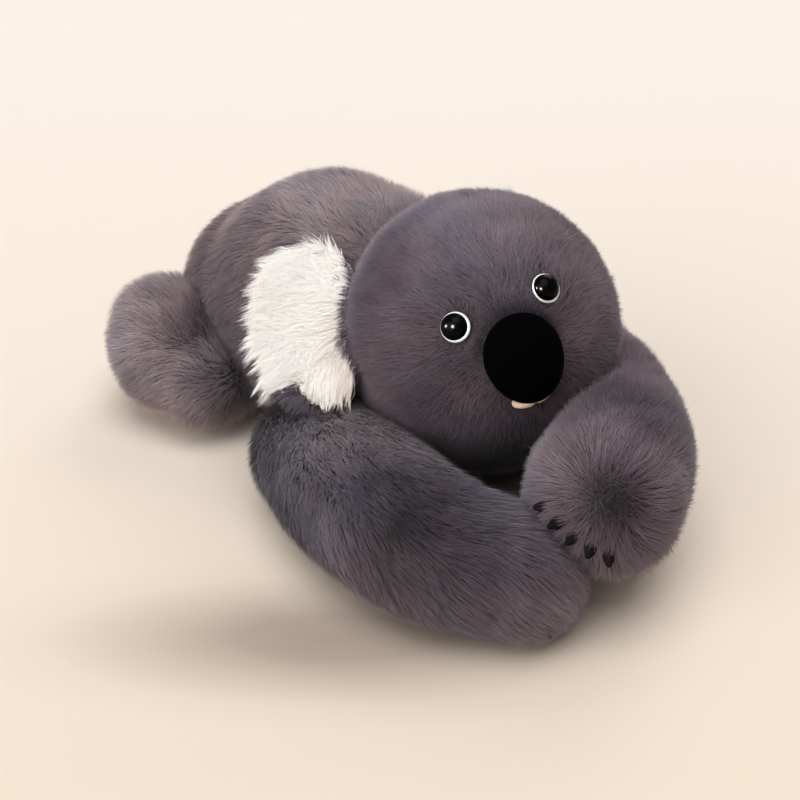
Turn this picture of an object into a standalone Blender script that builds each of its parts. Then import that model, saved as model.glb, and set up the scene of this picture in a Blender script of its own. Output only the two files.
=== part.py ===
"""A plush koala that lies on its belly, its head turned and its arms crossed in front.

Lengths are in metres, +Z is up, and the koala faces -Y with its own left side at +X.
The origin is on the floor under the middle of the belly. Each long-pile skin is a shell
with its filling inside. Each stuffed form is a sphere drawn out along a line of stations.
"""

import math

import bmesh
import bpy
import numpy as np
from mathutils import Matrix, Vector

# Clearances and cuts
GAP = 0.0003
FILLING_GAP = 0.0007
SWING_GAP = 0.0009
REST_CUT = 0.0005
OVERRUN = 0.010

# Skins: backing and laid pile together
COVER_THICKNESS = 0.009
NOSE_SKIN = 0.002

# Body
BODY_LENGTH = 0.262
BODY_WIDTH = 0.142
BODY_HEIGHT = 0.157
NECK_OPENING_RADIUS = 0.026
LIMB_OPENING_RADIUS = 0.014

# Head
HEAD_WIDTH = 0.152
HEAD_DEPTH = 0.146
HEAD_HEIGHT = 0.158
HEAD_REACH = 0.132
HEAD_OFFSET = -0.004
HEAD_LEVEL = 0.104
MUZZLE_SWELL = 0.005
MUZZLE_SPREAD = 32.0
HEAD_TURN = -37.9
HEAD_TILT = -26.0
HEAD_ROLL = -19.3

# Arms and legs
ARM_REACH = 0.180
ARM_THICKNESS = 0.080
ARM_HEIGHT = 0.092
LEG_REACH = 0.060
LEG_THICKNESS = 0.078
LEG_HEIGHT = 0.076

# Face
NOSE_WIDTH = 0.043
NOSE_HEIGHT = 0.050
NOSE_DEPTH = 0.028
CHIN_WIDTH = 0.026
CHIN_HEIGHT = 0.012
CHIN_DEPTH = 0.016
EYE_DIAMETER = 0.0140
EYE_BULGE = 0.0055
EYE_RIM_DIAMETER = 0.0170
EYE_RIM_THICKNESS = 0.0020
EYE_SEAT_DEPTH = 0.0012
SHANK_DIAMETER = 0.0040
SHANK_LENGTH = 0.0180
WASHER_DIAMETER = 0.0140
WASHER_THICKNESS = 0.0020
EYE_SPREAD = 20.8
EYE_RISE = 10.2
NOSE_DROP = 11.5
CHIN_DROP = 29.0

# Ears
EAR_LENGTH = 0.100
EAR_WIDTH = 0.064
EAR_PANEL = 0.0050
EAR_CUP = 0.008
EAR_ROOT_INSET = 0.008
LEFT_EAR_SETBACK = 28.0
LEFT_EAR_FOLD = 45.0

# Claws
CLAW_LENGTH = 0.012
CLAW_BASE_DIAMETER = 0.0052
CLAW_TIP_DIAMETER = 0.0016
CLAW_SEAT_SHARE = 0.45
CLAW_FAN = 17.0
CLAW_DIP = 30.0
LEFT_CLAW_TURN = 21.0
LEFT_CLAW_DIP = 3.0
CLAWS_A_HAND = 5

# Joint ranges, in degrees
NECK_LIFT = 10.0
SHOULDER_SWING = 24.0
HIP_SWING = 20.0
EAR_SWING = 30.0
SWEEP_STEPS = 3

# Facets
AROUND = 22
CAP_RINGS = 4
TUBE_RINGS = 6
CORE_AROUND = 12
CORE_CAP_RINGS = 3
CORE_TUBE_RINGS = 4
HEAD_AROUND = 26
HEAD_RINGS = 17
HEAD_CORE_RINGS = 9
NOSE_AROUND = 20
NOSE_RINGS = 12
EAR_AROUND = 18
EAR_RINGS = 12
EYE_AROUND = 16
EYE_RINGS = 10
SEAT_SIDES = 16
SHANK_SIDES = 10
CLAW_SIDES = 8
SECTION_POWER = 2.3
CREASE = 40.0

# Stations of the body, each: along and half width (shares of length and width),
# underside and top (shares of height). The underside dips to the flat where it rests.
BODY_STATION_SHARES = (
    (-0.29, 0.41, 0.06, 0.92),
    (-0.12, 0.48, 0.00, 0.97),
    (0.08, 0.50, 0.00, 1.00),
    (0.25, 0.40, 0.03, 0.83),
)

# Stations of the arms, from the shoulder seam: sideways and forward (shares of the reach),
# half width (share of thickness), underside and top (shares of arm height).
RIGHT_ARM_STATION_SHARES = (
    (0.01, 0.07, 0.47, 0.00, 0.78),
    (0.12, 0.38, 0.50, 0.00, 0.86),
    (0.135, 0.70, 0.48, 0.00, 0.79),
    (0.045, 0.925, 0.43, 0.00, 0.70),
)
LEFT_ARM_STATION_SHARES = (
    (-0.03, 0.08, 0.44, 0.00, 0.86),
    (0.03, 0.38, 0.44, 0.00, 0.88),
    (-0.14, 0.67, 0.46, 0.00, 0.94),
    (-0.46, 0.95, 0.46, 0.26, 1.10),
    (-0.68, 1.05, 0.47, 0.30, 1.13),
)
LEG_STATION_SHARES = (
    (0.15, -0.17, 0.44, 0.16, 1.05),
    (0.39, 0.23, 0.46, 0.13, 1.03),
    (0.39, 0.76, 0.38, 0.14, 0.82),
)

# Where the limbs are sewn on: sideways (share of body width) and along (share of body length)
RIGHT_SHOULDER_SHARES = (-0.62, -0.26)
LEFT_SHOULDER_SHARES = (0.53, -0.25)
HIP_SHARES = (0.40, 0.32)

# Places on the head, as shares of its half sizes: sideways, back and up (the nape: back and up)
EAR_ROOT_SHARES = (0.91, -0.05, 0.43)
EAR_OUT_SHARES = (0.90, 0.22, 0.339)
EAR_UP_SHARES = (-0.38, 0.42, 0.82)
NAPE_SHARES = (0.52, 0.62)

FUR_GREY = (0.125, 0.105, 0.122)
EAR_WHITE = (0.86, 0.84, 0.78)
NOSE_BLACK = (0.012, 0.010, 0.012)
CHIN_TAN = (0.72, 0.52, 0.36)
EYE_BLACK = (0.006, 0.006, 0.008)
RIM_WHITE = (0.88, 0.88, 0.86)
CLAW_DARK = (0.030, 0.024, 0.028)
FILLING_WHITE = (0.82, 0.82, 0.80)
WASHER_WHITE = (0.70, 0.70, 0.68)

UP = Vector((0.0, 0.0, 1.0))
NECK_AXIS = Vector((-1.0, 0.0, 0.0))
MIRROR = Matrix.Diagonal((-1.0, 1.0, 1.0, 1.0))


def clear_scene():
    for item in list(bpy.data.objects):
        bpy.data.objects.remove(item, do_unlink=True)


def new_collection(name):
    collection = bpy.data.collections.new(name)
    bpy.context.scene.collection.children.link(collection)
    return collection


def material(name, colour, roughness, metallic=0.0):
    finish = bpy.data.materials.new(name)
    finish.use_nodes = True
    shader = finish.node_tree.nodes["Principled BSDF"]
    shader.inputs["Base Color"].default_value = (*colour, 1.0)
    shader.inputs["Roughness"].default_value = roughness
    shader.inputs["Metallic"].default_value = metallic
    return finish


def mesh_object(name, bm, collection):
    """Closes a bmesh into a named object whose faces point out."""
    bmesh.ops.recalc_face_normals(bm, faces=bm.faces[:])
    if bm.calc_volume(signed=True) < 0:
        bmesh.ops.reverse_faces(bm, faces=bm.faces[:])
    mesh = bpy.data.meshes.new(name)
    bm.to_mesh(mesh)
    bm.free()
    item = bpy.data.objects.new(name, mesh)
    collection.objects.link(item)
    return item


def cutter_object(name, bm):
    item = mesh_object(name, bm, CUTTERS)
    item.hide_render = True
    item.display_type = "WIRE"
    return item


def combine(target, operation, tool):
    """Applies one exact boolean to the target's mesh."""
    modifier = target.modifiers.new(operation.title(), "BOOLEAN")
    modifier.operation = operation
    modifier.solver = "EXACT"
    modifier.object = tool
    bpy.context.view_layer.update()
    depsgraph = bpy.context.evaluated_depsgraph_get()
    result = bpy.data.meshes.new_from_object(target.evaluated_get(depsgraph))
    target.modifiers.remove(modifier)
    spent = target.data
    target.data = result
    bpy.data.meshes.remove(spent)


def cut(target, tool, placement=None):
    tool.matrix_world = placement or Matrix.Identity(4)
    combine(target, "DIFFERENCE", tool)
    tool.matrix_world = Matrix.Identity(4)


def turn_about(point, axis, degrees):
    """The move that turns a thing about an axis through a point."""
    turn = Matrix.Rotation(math.radians(degrees), 4, axis)
    return Matrix.Translation(point) @ turn @ Matrix.Translation(-point)


def sweep_angles(limit):
    return [limit * step / SWEEP_STEPS for step in range(SWEEP_STEPS + 1)]


def smooth_rows(rows, count):
    """Rows read evenly along a smooth curve through the given rows."""
    rows = np.asarray(rows, dtype=float)
    padded = np.vstack([2 * rows[0] - rows[1], rows, 2 * rows[-1] - rows[-2]])
    result = []
    for place in np.linspace(0, len(rows) - 1, count):
        index = min(int(place), len(rows) - 2)
        share = place - index
        before, start, end, after = padded[index:index + 4]
        curve = (2 * start + (end - before) * share
                 + (2 * before - 5 * start + 4 * end - after) * share ** 2
                 + (3 * start - before - 3 * end + after) * share ** 3)
        result.append(curve / 2)
    return np.array(result)


def squared(value):
    return math.copysign(abs(value) ** (2 / SECTION_POWER), value)


def stuffed_rings(stations, inset, cap_rings, tube_rings):
    """Rings of a stuffed form: centre, side direction, half width and half height."""
    rows = smooth_rows(stations, tube_rings + 1)
    places = [Vector((row[0], row[1], (row[2] + row[3]) / 2)) for row in rows]
    rings = []
    for index, row in enumerate(rows):
        ahead = places[min(index + 1, tube_rings)] - places[max(index - 1, 0)]
        ahead.normalize()
        side = ahead.cross(UP).normalized()
        wide = row[4] - inset
        tall = (row[3] - row[2]) / 2 - inset
        if index in (0, tube_rings):
            away = -ahead if index == 0 else ahead
            cap = []
            for step in range(cap_rings + 1):
                angle = math.radians(90 * step / cap_rings)
                spot = places[index] + away * (wide * math.cos(angle))
                cap.append((spot, side, wide * math.sin(angle), tall * math.sin(angle)))
            rings += cap if index == 0 else cap[::-1]
        else:
            rings.append((places[index], side, wide, tall))
    return rings


def stuffed_form(stations, inset=0.0, core=False):
    """A sphere whose rings are moved onto the rings of a stuffed form."""
    around = CORE_AROUND if core else AROUND
    cap_rings = CORE_CAP_RINGS if core else CAP_RINGS
    tube_rings = CORE_TUBE_RINGS if core else TUBE_RINGS
    rings = stuffed_rings(stations, inset, cap_rings, tube_rings)
    bm = bmesh.new()
    bmesh.ops.create_uvsphere(bm, u_segments=around, v_segments=len(rings) - 1, radius=1.0)
    for vertex in bm.verts:
        polar = math.acos(max(-1.0, min(1.0, vertex.co.z)))
        centre, side, wide, tall = rings[round(polar / math.pi * (len(rings) - 1))]
        angle = math.atan2(vertex.co.y, vertex.co.x)
        across = side * (wide * squared(math.cos(angle)))
        vertex.co = centre + across + UP * (tall * squared(math.sin(angle)))
    return bm


def flatten_rest(bm):
    """Cuts a form flat where it rests on the floor."""
    geometry = bm.verts[:] + bm.edges[:] + bm.faces[:]
    bmesh.ops.bisect_plane(bm, geom=geometry, plane_co=Vector(), plane_no=UP, clear_inner=True)
    bmesh.ops.holes_fill(bm, edges=[edge for edge in bm.edges if edge.is_boundary])
    return bm


def body_stations():
    rows = []
    for along, width, low, high in BODY_STATION_SHARES:
        rest = REST_CUT if low == 0 else 0.0
        bottom = low * BODY_HEIGHT - rest
        rows.append((0.0, along * BODY_LENGTH, bottom, high * BODY_HEIGHT, width * BODY_WIDTH))
    return rows


def limb_stations(table, root, side, reach, thickness, height):
    rows = []
    for out, ahead, width, low, high in table:
        rest = REST_CUT if low == 0 else 0.0
        x = root.x + side * out * reach
        y = root.y - ahead * reach
        rows.append((x, y, low * height - rest, high * height, width * thickness))
    return rows


def head_place():
    turn = Matrix.Rotation(math.radians(HEAD_TURN), 4, "Z")
    tilt = Matrix.Rotation(math.radians(HEAD_TILT), 4, "X")
    roll = Matrix.Rotation(math.radians(HEAD_ROLL), 4, "Y")
    centre = Vector((HEAD_OFFSET, -HEAD_REACH, HEAD_LEVEL))
    return Matrix.Translation(centre) @ turn @ tilt @ roll


def head_radii():
    return Vector((HEAD_WIDTH, HEAD_DEPTH, HEAD_HEIGHT)) / 2


def face_direction(sideways, rise):
    """Unit direction from the head's centre, by angles to the side and above straight ahead."""
    side, up = math.radians(sideways), math.radians(rise)
    return Vector((math.sin(side) * math.cos(up), -math.cos(side) * math.cos(up), math.sin(up)))


def head_surface(direction, inset=0.0):
    """The point of the head's form that lies along a direction from its centre."""
    radii = head_radii()
    muzzle = face_direction(0, -NOSE_DROP)
    swell = math.exp(-(direction.angle(muzzle) / math.radians(MUZZLE_SPREAD)) ** 2)
    length = 1 / math.sqrt(sum((direction[i] / (radii[i] - inset)) ** 2 for i in range(3)))
    return direction * (length + MUZZLE_SWELL * swell)


def head_form(inset=0.0, core=False):
    """The head: a slightly tall ball with a soft swelling at the muzzle."""
    around = CORE_AROUND if core else HEAD_AROUND
    rings = HEAD_CORE_RINGS if core else HEAD_RINGS
    bm = bmesh.new()
    upright = Matrix.Rotation(math.radians(90), 4, "X")
    bmesh.ops.create_uvsphere(bm, u_segments=around, v_segments=rings, radius=1.0, matrix=upright)
    for vertex in bm.verts:
        vertex.co = head_surface(vertex.co.normalized(), inset)
    bm.transform(HEAD_PLACE)
    return bm


def upright_on(point, direction):
    """A frame on a point of the head whose +Z runs out along a direction."""
    turn = direction.to_track_quat("Z", "Y").to_matrix().to_4x4()
    return HEAD_PLACE @ Matrix.Translation(point) @ turn


def rod(radius_low, radius_high, length, place, sides=SEAT_SIDES):
    """A capped cylinder or cone that stands on its place."""
    bm = bmesh.new()
    lift = Matrix.Translation(UP * (length / 2))
    bmesh.ops.create_cone(bm, cap_ends=True, segments=sides, radius1=radius_low, radius2=radius_high,
                          depth=length, matrix=place @ lift)
    return bm


def egg(width, depth, height, place, around=NOSE_AROUND, rings=NOSE_RINGS):
    bm = bmesh.new()
    scale = Matrix.Diagonal((width / 2, depth / 2, height / 2, 1.0))
    bmesh.ops.create_uvsphere(bm, u_segments=around, v_segments=rings, radius=1.0, matrix=place @ scale)
    return bm


def mirrored(source, name):
    """A copy of a piece on the koala's other side."""
    mesh = source.data.copy()
    mesh.transform(MIRROR)
    mesh.flip_normals()
    item = bpy.data.objects.new(name, mesh)
    PARTS.objects.link(item)
    return item


def finish(item, look):
    item.data.materials.clear()
    item.data.materials.append(look)
    item.data.shade_smooth()
    item.data.set_sharp_from_angle(angle=math.radians(CREASE))


def pivot(name, point, parent=None):
    empty = bpy.data.objects.new(name, None)
    empty.empty_display_type = "ARROWS"
    empty.empty_display_size = OVERRUN
    PARTS.objects.link(empty)
    empty.location = point - (Vector(parent["point"]) if parent else Vector())
    empty["point"] = tuple(point)
    empty.parent = parent
    return empty


def hang(items, empty):
    """Moves the pieces' origins to their joint and parents them to it."""
    point = Vector(empty["point"])
    for item in items:
        item.data.transform(Matrix.Translation(-point))
        item.parent = empty


def make_body(looks):
    stations = body_stations()
    cover = mesh_object("body_cover", flatten_rest(stuffed_form(stations)), PARTS)
    cavity = cutter_object("body_cavity", stuffed_form(stations, COVER_THICKNESS, core=True))
    cut(cover, cavity)
    block = stuffed_form(stations, COVER_THICKNESS + FILLING_GAP, core=True)
    filling = mesh_object("body_filling", block, PARTS)
    head = cutter_object("head_sweep", head_form(-SWING_GAP))
    for angle in sweep_angles(NECK_LIFT):
        move = turn_about(NAPE, NECK_AXIS, angle)
        cut(cover, head, move)
        cut(filling, head, move)
    finish(cover, looks["fur"])
    finish(filling, looks["filling"])
    return [cover, filling]


def make_head(looks):
    cover = mesh_object("head_cover", head_form(), PARTS)
    cut(cover, cutter_object("head_cavity", head_form(COVER_THICKNESS, core=True)))
    filling = mesh_object("head_filling", head_form(COVER_THICKNESS + FILLING_GAP, core=True), PARTS)
    neck_way = HEAD_PLACE.inverted() @ Vector((0.0, BODY_STATION_SHARES[0][0] * BODY_LENGTH, NAPE.z / 2))
    opening = upright_on(Vector(), neck_way.normalized())
    tunnel = rod(NECK_OPENING_RADIUS, NECK_OPENING_RADIUS, HEAD_DEPTH, opening)
    cut(cover, cutter_object("neck_opening", tunnel))
    finish(cover, looks["fur"])
    finish(filling, looks["filling"])
    return cover, filling


def make_eye(side, side_name, cover, filling, looks):
    """A safety eye: a domed head on a shank, a white rim behind it and a lock washer inside."""
    direction = face_direction(side * EYE_SPREAD, EYE_RISE)
    seat = upright_on(head_surface(direction) - direction * EYE_SEAT_DEPTH, direction)
    rim_radius = EYE_RIM_DIAMETER / 2
    shank_radius = SHANK_DIAMETER / 2
    hole_radius = shank_radius + GAP
    seat_room = rod(rim_radius + GAP, rim_radius + GAP, OVERRUN, seat)
    cut(cover, cutter_object("eye_seat_" + side_name, seat_room))

    rim_place = seat @ Matrix.Translation(UP * GAP)
    disc = rod(rim_radius, rim_radius, EYE_RIM_THICKNESS, rim_place)
    rim = mesh_object("eye_rim_" + side_name, disc, PARTS)
    dome_place = rim_place @ Matrix.Translation(UP * (EYE_RIM_THICKNESS + GAP))
    ball = egg(EYE_DIAMETER, EYE_DIAMETER, EYE_BULGE * 2, dome_place, EYE_AROUND, EYE_RINGS)
    dome = mesh_object("eye_" + side_name, ball, PARTS)
    behind = dome_place @ Matrix.Translation(UP * -OVERRUN)
    cut(dome, cutter_object("eye_back_" + side_name, rod(EYE_DIAMETER, EYE_DIAMETER, OVERRUN, behind)))
    shank_place = dome_place @ Matrix.Translation(UP * (EYE_BULGE / 2 - SHANK_LENGTH))
    shank = rod(shank_radius, shank_radius, SHANK_LENGTH, shank_place, SHANK_SIDES)
    combine(dome, "UNION", cutter_object("shank_" + side_name, shank))

    inside = head_surface(direction, COVER_THICKNESS)
    washer_place = upright_on(inside - direction * (WASHER_THICKNESS + GAP), direction)
    washer_radius = WASHER_DIAMETER / 2
    disc = rod(washer_radius, washer_radius, WASHER_THICKNESS, washer_place)
    washer = mesh_object("eye_washer_" + side_name, disc, PARTS)
    pocket_place = washer_place @ Matrix.Translation(UP * -GAP)
    pocket_height = WASHER_THICKNESS + 2 * GAP
    pocket = cutter_object("washer_pocket_" + side_name,
                           rod(washer_radius + GAP, washer_radius + GAP, pocket_height, pocket_place))
    room_place = shank_place @ Matrix.Translation(UP * -GAP)
    bore = rod(hole_radius, hole_radius, SHANK_LENGTH + OVERRUN, room_place, SHANK_SIDES)
    shank_room = cutter_object("shank_room_" + side_name, bore)
    for item in (cover, filling):
        cut(item, pocket)
        cut(item, shank_room)
    for item in (rim, washer):
        cut(item, shank_room)
    finish(dome, looks["eye"])
    finish(rim, looks["rim"])
    finish(washer, looks["washer"])
    return [dome, rim, washer]


def make_nose(looks):
    """The nose pad and the mouth piece under it, both sewn flat against the muzzle."""
    head = cutter_object("head_for_face", head_form(-GAP))
    direction = face_direction(0, -NOSE_DROP)
    place = upright_on(head_surface(direction), direction) @ Matrix.Rotation(math.radians(90), 4, "X")
    cover = mesh_object("nose_cover", egg(NOSE_WIDTH, NOSE_DEPTH, NOSE_HEIGHT, place), PARTS)
    skin = NOSE_SKIN * 2
    core = (NOSE_WIDTH - skin, NOSE_DEPTH - skin, NOSE_HEIGHT - skin)
    cut(cover, cutter_object("nose_cavity", egg(*core, place)))
    filling = mesh_object("nose_filling", egg(*(size - 2 * GAP for size in core), place), PARTS)
    cut(cover, head)
    cut(filling, head)

    low = face_direction(0, -CHIN_DROP)
    chin_place = upright_on(head_surface(low), low) @ Matrix.Rotation(math.radians(90), 4, "X")
    chin = mesh_object("chin_patch", egg(CHIN_WIDTH, CHIN_DEPTH, CHIN_HEIGHT, chin_place), PARTS)
    cut(chin, head)
    nose_room = egg(NOSE_WIDTH + 2 * GAP, NOSE_DEPTH + 2 * GAP, NOSE_HEIGHT + 2 * GAP, place)
    cut(chin, cutter_object("nose_room", nose_room))
    finish(cover, looks["nose"])
    finish(filling, looks["filling"])
    finish(chin, looks["chin"])
    return [cover, filling, chin]


def ear_frame(side):
    """The ear's root on the head: +X runs out along the ear, +Z up it and -Y out of its front.

    The left ear is sewn on further back and lies folded behind the head.
    """
    radii = head_radii()
    root = Vector([share * size for share, size in zip(EAR_ROOT_SHARES, radii)])
    root.x *= side
    out = Vector(EAR_OUT_SHARES).normalized()
    up = Vector(EAR_UP_SHARES).normalized()
    out.x *= side
    up.x *= side
    out = (out - up * out.dot(up)).normalized()
    back = up.cross(out) * side
    turn = Matrix((out, back, up)).transposed().to_4x4()
    place = Matrix.Translation(root) @ turn
    if side > 0:
        setback = Matrix.Rotation(math.radians(LEFT_EAR_SETBACK), 4, "Z")
        place = setback @ place @ Matrix.Rotation(math.radians(LEFT_EAR_FOLD), 4, "Z")
    return HEAD_PLACE @ place


def ear_panel(front, place):
    """One half of an ear: a flattened egg, level on the side where the panels are sewn together."""
    bm = egg(EAR_WIDTH, EAR_PANEL * 2, EAR_LENGTH, Matrix.Identity(4), EAR_AROUND, EAR_RINGS)
    facing = -1 if front else 1
    for vertex in bm.verts:
        rise = vertex.co.y * facing
        vertex.co.y = facing * (max(rise, 0.0) + GAP / 2)
        reach = (2 * vertex.co.x / EAR_WIDTH) ** 2 + (2 * vertex.co.z / EAR_LENGTH) ** 2
        vertex.co.y -= EAR_CUP * reach
    bm.transform(place @ Matrix.Translation(Vector((EAR_WIDTH / 2 - EAR_ROOT_INSET, EAR_CUP, 0.0))))
    return bm


def make_ear(side, side_name, looks):
    place = ear_frame(side)
    root = place.to_translation()
    axis = place.to_3x3().col[2].normalized()
    front = mesh_object("ear_front_" + side_name, ear_panel(True, place), PARTS)
    back = mesh_object("ear_back_" + side_name, ear_panel(False, place), PARTS)
    head = cutter_object("head_for_ear_" + side_name, head_form(-SWING_GAP))
    for angle in sweep_angles(EAR_SWING):
        move = turn_about(root, axis, angle * side)
        cut(front, head, move)
        cut(back, head, move)
    body = cutter_object("body_for_ear_" + side_name, stuffed_form(body_stations(), -SWING_GAP))
    for angle in sweep_angles(NECK_LIFT):
        cut(back, body, turn_about(NAPE, NECK_AXIS, -angle))
    finish(front, looks["ear"])
    finish(back, looks["fur"])
    return [front, back], root, axis


def make_limb(name, stations, root, thickness, swing, looks):
    """A limb's skin and filling, cut by the body and the head at each step of its swing."""
    cover = mesh_object(name + "_cover", flatten_rest(stuffed_form(stations)), PARTS)
    cut(cover, cutter_object(name + "_cavity", stuffed_form(stations, COVER_THICKNESS, core=True)))
    block = stuffed_form(stations, COVER_THICKNESS + FILLING_GAP, core=True)
    filling = mesh_object(name + "_filling", block, PARTS)
    shoulder = stuffed_rings(stations, 0.0, CAP_RINGS, TUBE_RINGS)[CAP_RINGS][0]
    inward = Vector((-math.copysign(1.0, shoulder.x), 0.0, 0.0)).to_track_quat("Z", "Y").to_matrix().to_4x4()
    tunnel = rod(LIMB_OPENING_RADIUS, LIMB_OPENING_RADIUS, thickness, Matrix.Translation(shoulder) @ inward)
    cut(cover, cutter_object(name + "_opening", tunnel))
    body = cutter_object(name + "_body_room", stuffed_form(body_stations(), -SWING_GAP))
    head = cutter_object(name + "_head_room", head_form(-SWING_GAP))
    for angle in sweep_angles(swing):
        away = turn_about(root, UP, -angle)
        for item in (cover, filling):
            cut(item, body, away)
            if name.startswith("arm"):
                cut(item, head, away)
    if name.startswith("arm"):
        for angle in sweep_angles(NECK_LIFT)[1:]:
            for item in (cover, filling):
                cut(item, head, turn_about(NAPE, NECK_AXIS, angle))
    finish(cover, looks["fur"])
    finish(filling, looks["filling"])
    return [cover, filling]


def make_claws(side_name, stations, turn, dip, rest_on, looks):
    """Short claws fanned round the end of a hand, clear of the arm that they may rest on."""
    rings = stuffed_rings(stations, 0.0, CAP_RINGS, TUBE_RINGS)
    tip = rings[-1][0]
    centre = rings[-CAP_RINGS - 1][0]
    radius = (tip - centre).length
    ahead = (tip - centre).normalized()
    side = ahead.cross(UP).normalized()
    down = side.cross(ahead).normalized() * -1
    skin = cutter_object("skin_for_claws_" + side_name, stuffed_form(stations, -GAP))
    claws = []
    for index in range(CLAWS_A_HAND):
        spread = math.radians(turn + CLAW_FAN * (index - (CLAWS_A_HAND - 1) / 2))
        low = math.radians(dip)
        way = (ahead * math.cos(low) + down * math.sin(low)) * math.cos(spread) + side * math.sin(spread)
        way.normalize()
        start = centre + way * (radius - CLAW_LENGTH * CLAW_SEAT_SHARE)
        place = Matrix.Translation(start) @ way.to_track_quat("Z", "Y").to_matrix().to_4x4()
        cone = rod(CLAW_BASE_DIAMETER / 2, CLAW_TIP_DIAMETER / 2, CLAW_LENGTH, place, CLAW_SIDES)
        claw = mesh_object("claw_%s_%d" % (side_name, index + 1), cone, PARTS)
        cut(claw, skin)
        if rest_on:
            cut(claw, rest_on)
        finish(claw, looks["claw"])
        claws.append(claw)
    return claws


def body_point(shares, height):
    return Vector((shares[0] * BODY_WIDTH, shares[1] * BODY_LENGTH, height))


clear_scene()
PARTS = new_collection("plush_koala")
CUTTERS = new_collection("cutters")
HEAD_PLACE = head_place()
NAPE_BACK = HEAD_DEPTH / 2 * NAPE_SHARES[0]
NAPE_RISE = HEAD_HEIGHT / 2 * NAPE_SHARES[1]
NAPE = Vector((0.0, NAPE_BACK - HEAD_REACH, HEAD_LEVEL + NAPE_RISE))

LOOKS = {
    "fur": material("slate_fur", FUR_GREY, 0.95),
    "ear": material("white_ear_fur", EAR_WHITE, 0.95),
    "nose": material("black_nose_velvet", NOSE_BLACK, 0.85),
    "chin": material("tan_chin_felt", CHIN_TAN, 0.90),
    "eye": material("black_eye_plastic", EYE_BLACK, 0.08),
    "rim": material("white_eye_rim", RIM_WHITE, 0.40),
    "claw": material("dark_claw", CLAW_DARK, 0.55),
    "filling": material("white_filling", FILLING_WHITE, 1.00),
    "washer": material("white_washer_plastic", WASHER_WHITE, 0.45),
}

make_body(LOOKS)

neck = pivot("neck_pivot", NAPE)
head_cover, head_filling = make_head(LOOKS)
head_pieces = [head_cover, head_filling] + make_nose(LOOKS)
for side, side_name in ((-1, "right"), (1, "left")):
    head_pieces += make_eye(side, side_name, head_cover, head_filling, LOOKS)
hang(head_pieces, neck)

for side, side_name in ((-1, "right"), (1, "left")):
    ear, ear_root, ear_axis = make_ear(side, side_name, LOOKS)
    hang(ear, pivot("ear_pivot_" + side_name, ear_root, neck))

right_root = body_point(RIGHT_SHOULDER_SHARES, ARM_HEIGHT / 2)
ARM_SIZES = (ARM_REACH, ARM_THICKNESS, ARM_HEIGHT)
right_stations = limb_stations(RIGHT_ARM_STATION_SHARES, right_root, -1, *ARM_SIZES)
right_arm = make_limb("arm_right", right_stations, right_root, ARM_THICKNESS, -SHOULDER_SWING, LOOKS)
right_claws = make_claws("right", right_stations, 0.0, CLAW_DIP, None, LOOKS)
hang(right_arm + right_claws, pivot("shoulder_pivot_right", right_root))

left_root = body_point(LEFT_SHOULDER_SHARES, ARM_HEIGHT / 2)
left_stations = limb_stations(LEFT_ARM_STATION_SHARES, left_root, 1, *ARM_SIZES)
left_arm = make_limb("arm_left", left_stations, left_root, ARM_THICKNESS, SHOULDER_SWING, LOOKS)
forearm_room = cutter_object("forearm_room", stuffed_form(right_stations, -SWING_GAP))
for item in left_arm:
    cut(item, forearm_room)
left_claws = make_claws("left", left_stations, LEFT_CLAW_TURN, LEFT_CLAW_DIP, forearm_room, LOOKS)
hang(left_arm + left_claws, pivot("shoulder_pivot_left", left_root))

right_hip = body_point((-HIP_SHARES[0], HIP_SHARES[1]), LEG_HEIGHT / 2)
leg_stations = limb_stations(LEG_STATION_SHARES, right_hip, -1, LEG_REACH, LEG_THICKNESS, LEG_HEIGHT)
right_leg = make_limb("leg_right", leg_stations, right_hip, LEG_THICKNESS, -HIP_SWING, LOOKS)
left_leg = [mirrored(item, item.name.replace("right", "left")) for item in right_leg]
hang(right_leg, pivot("hip_pivot_right", right_hip))
hang(left_leg, pivot("hip_pivot_left", MIRROR @ right_hip))
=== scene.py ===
# %% [markdown]
# # A long-pile plush koala
# The toy lies on its belly with its arms crossed in front and its head turned to one side.
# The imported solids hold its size, its joints and its weight. This notebook gives them their
# looks: a knitted skin, a pile of single hairs, moulded eyes, a velvet nose and felt claws.

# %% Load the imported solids
import math

import bpy
import numpy as np
from mathutils import Matrix, Vector, kdtree


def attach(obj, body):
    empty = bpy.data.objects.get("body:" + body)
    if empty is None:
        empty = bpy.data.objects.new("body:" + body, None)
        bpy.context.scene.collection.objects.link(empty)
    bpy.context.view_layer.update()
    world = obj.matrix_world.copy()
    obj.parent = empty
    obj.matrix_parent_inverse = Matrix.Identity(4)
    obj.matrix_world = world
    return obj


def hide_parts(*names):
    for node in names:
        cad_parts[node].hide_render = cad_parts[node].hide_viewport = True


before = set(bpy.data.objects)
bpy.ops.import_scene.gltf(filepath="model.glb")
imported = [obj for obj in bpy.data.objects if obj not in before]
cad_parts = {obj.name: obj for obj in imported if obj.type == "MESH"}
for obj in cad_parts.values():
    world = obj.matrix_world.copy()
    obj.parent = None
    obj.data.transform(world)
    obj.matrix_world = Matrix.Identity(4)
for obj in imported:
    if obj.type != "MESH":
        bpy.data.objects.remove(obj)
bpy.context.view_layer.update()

MM = 0.001
UP = Vector((0.0, 0.0, 1.0))
SIDE_NAMES = {-1: "right", 1: "left"}

# %% [markdown]
# ## Where the toy is looked at from
# The camera stands a little above the toy and in front of its right side. Its axes are kept,
# because the way the coat was brushed and the lamps are both easiest to tell as left, right, up
# and down in that view.

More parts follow.
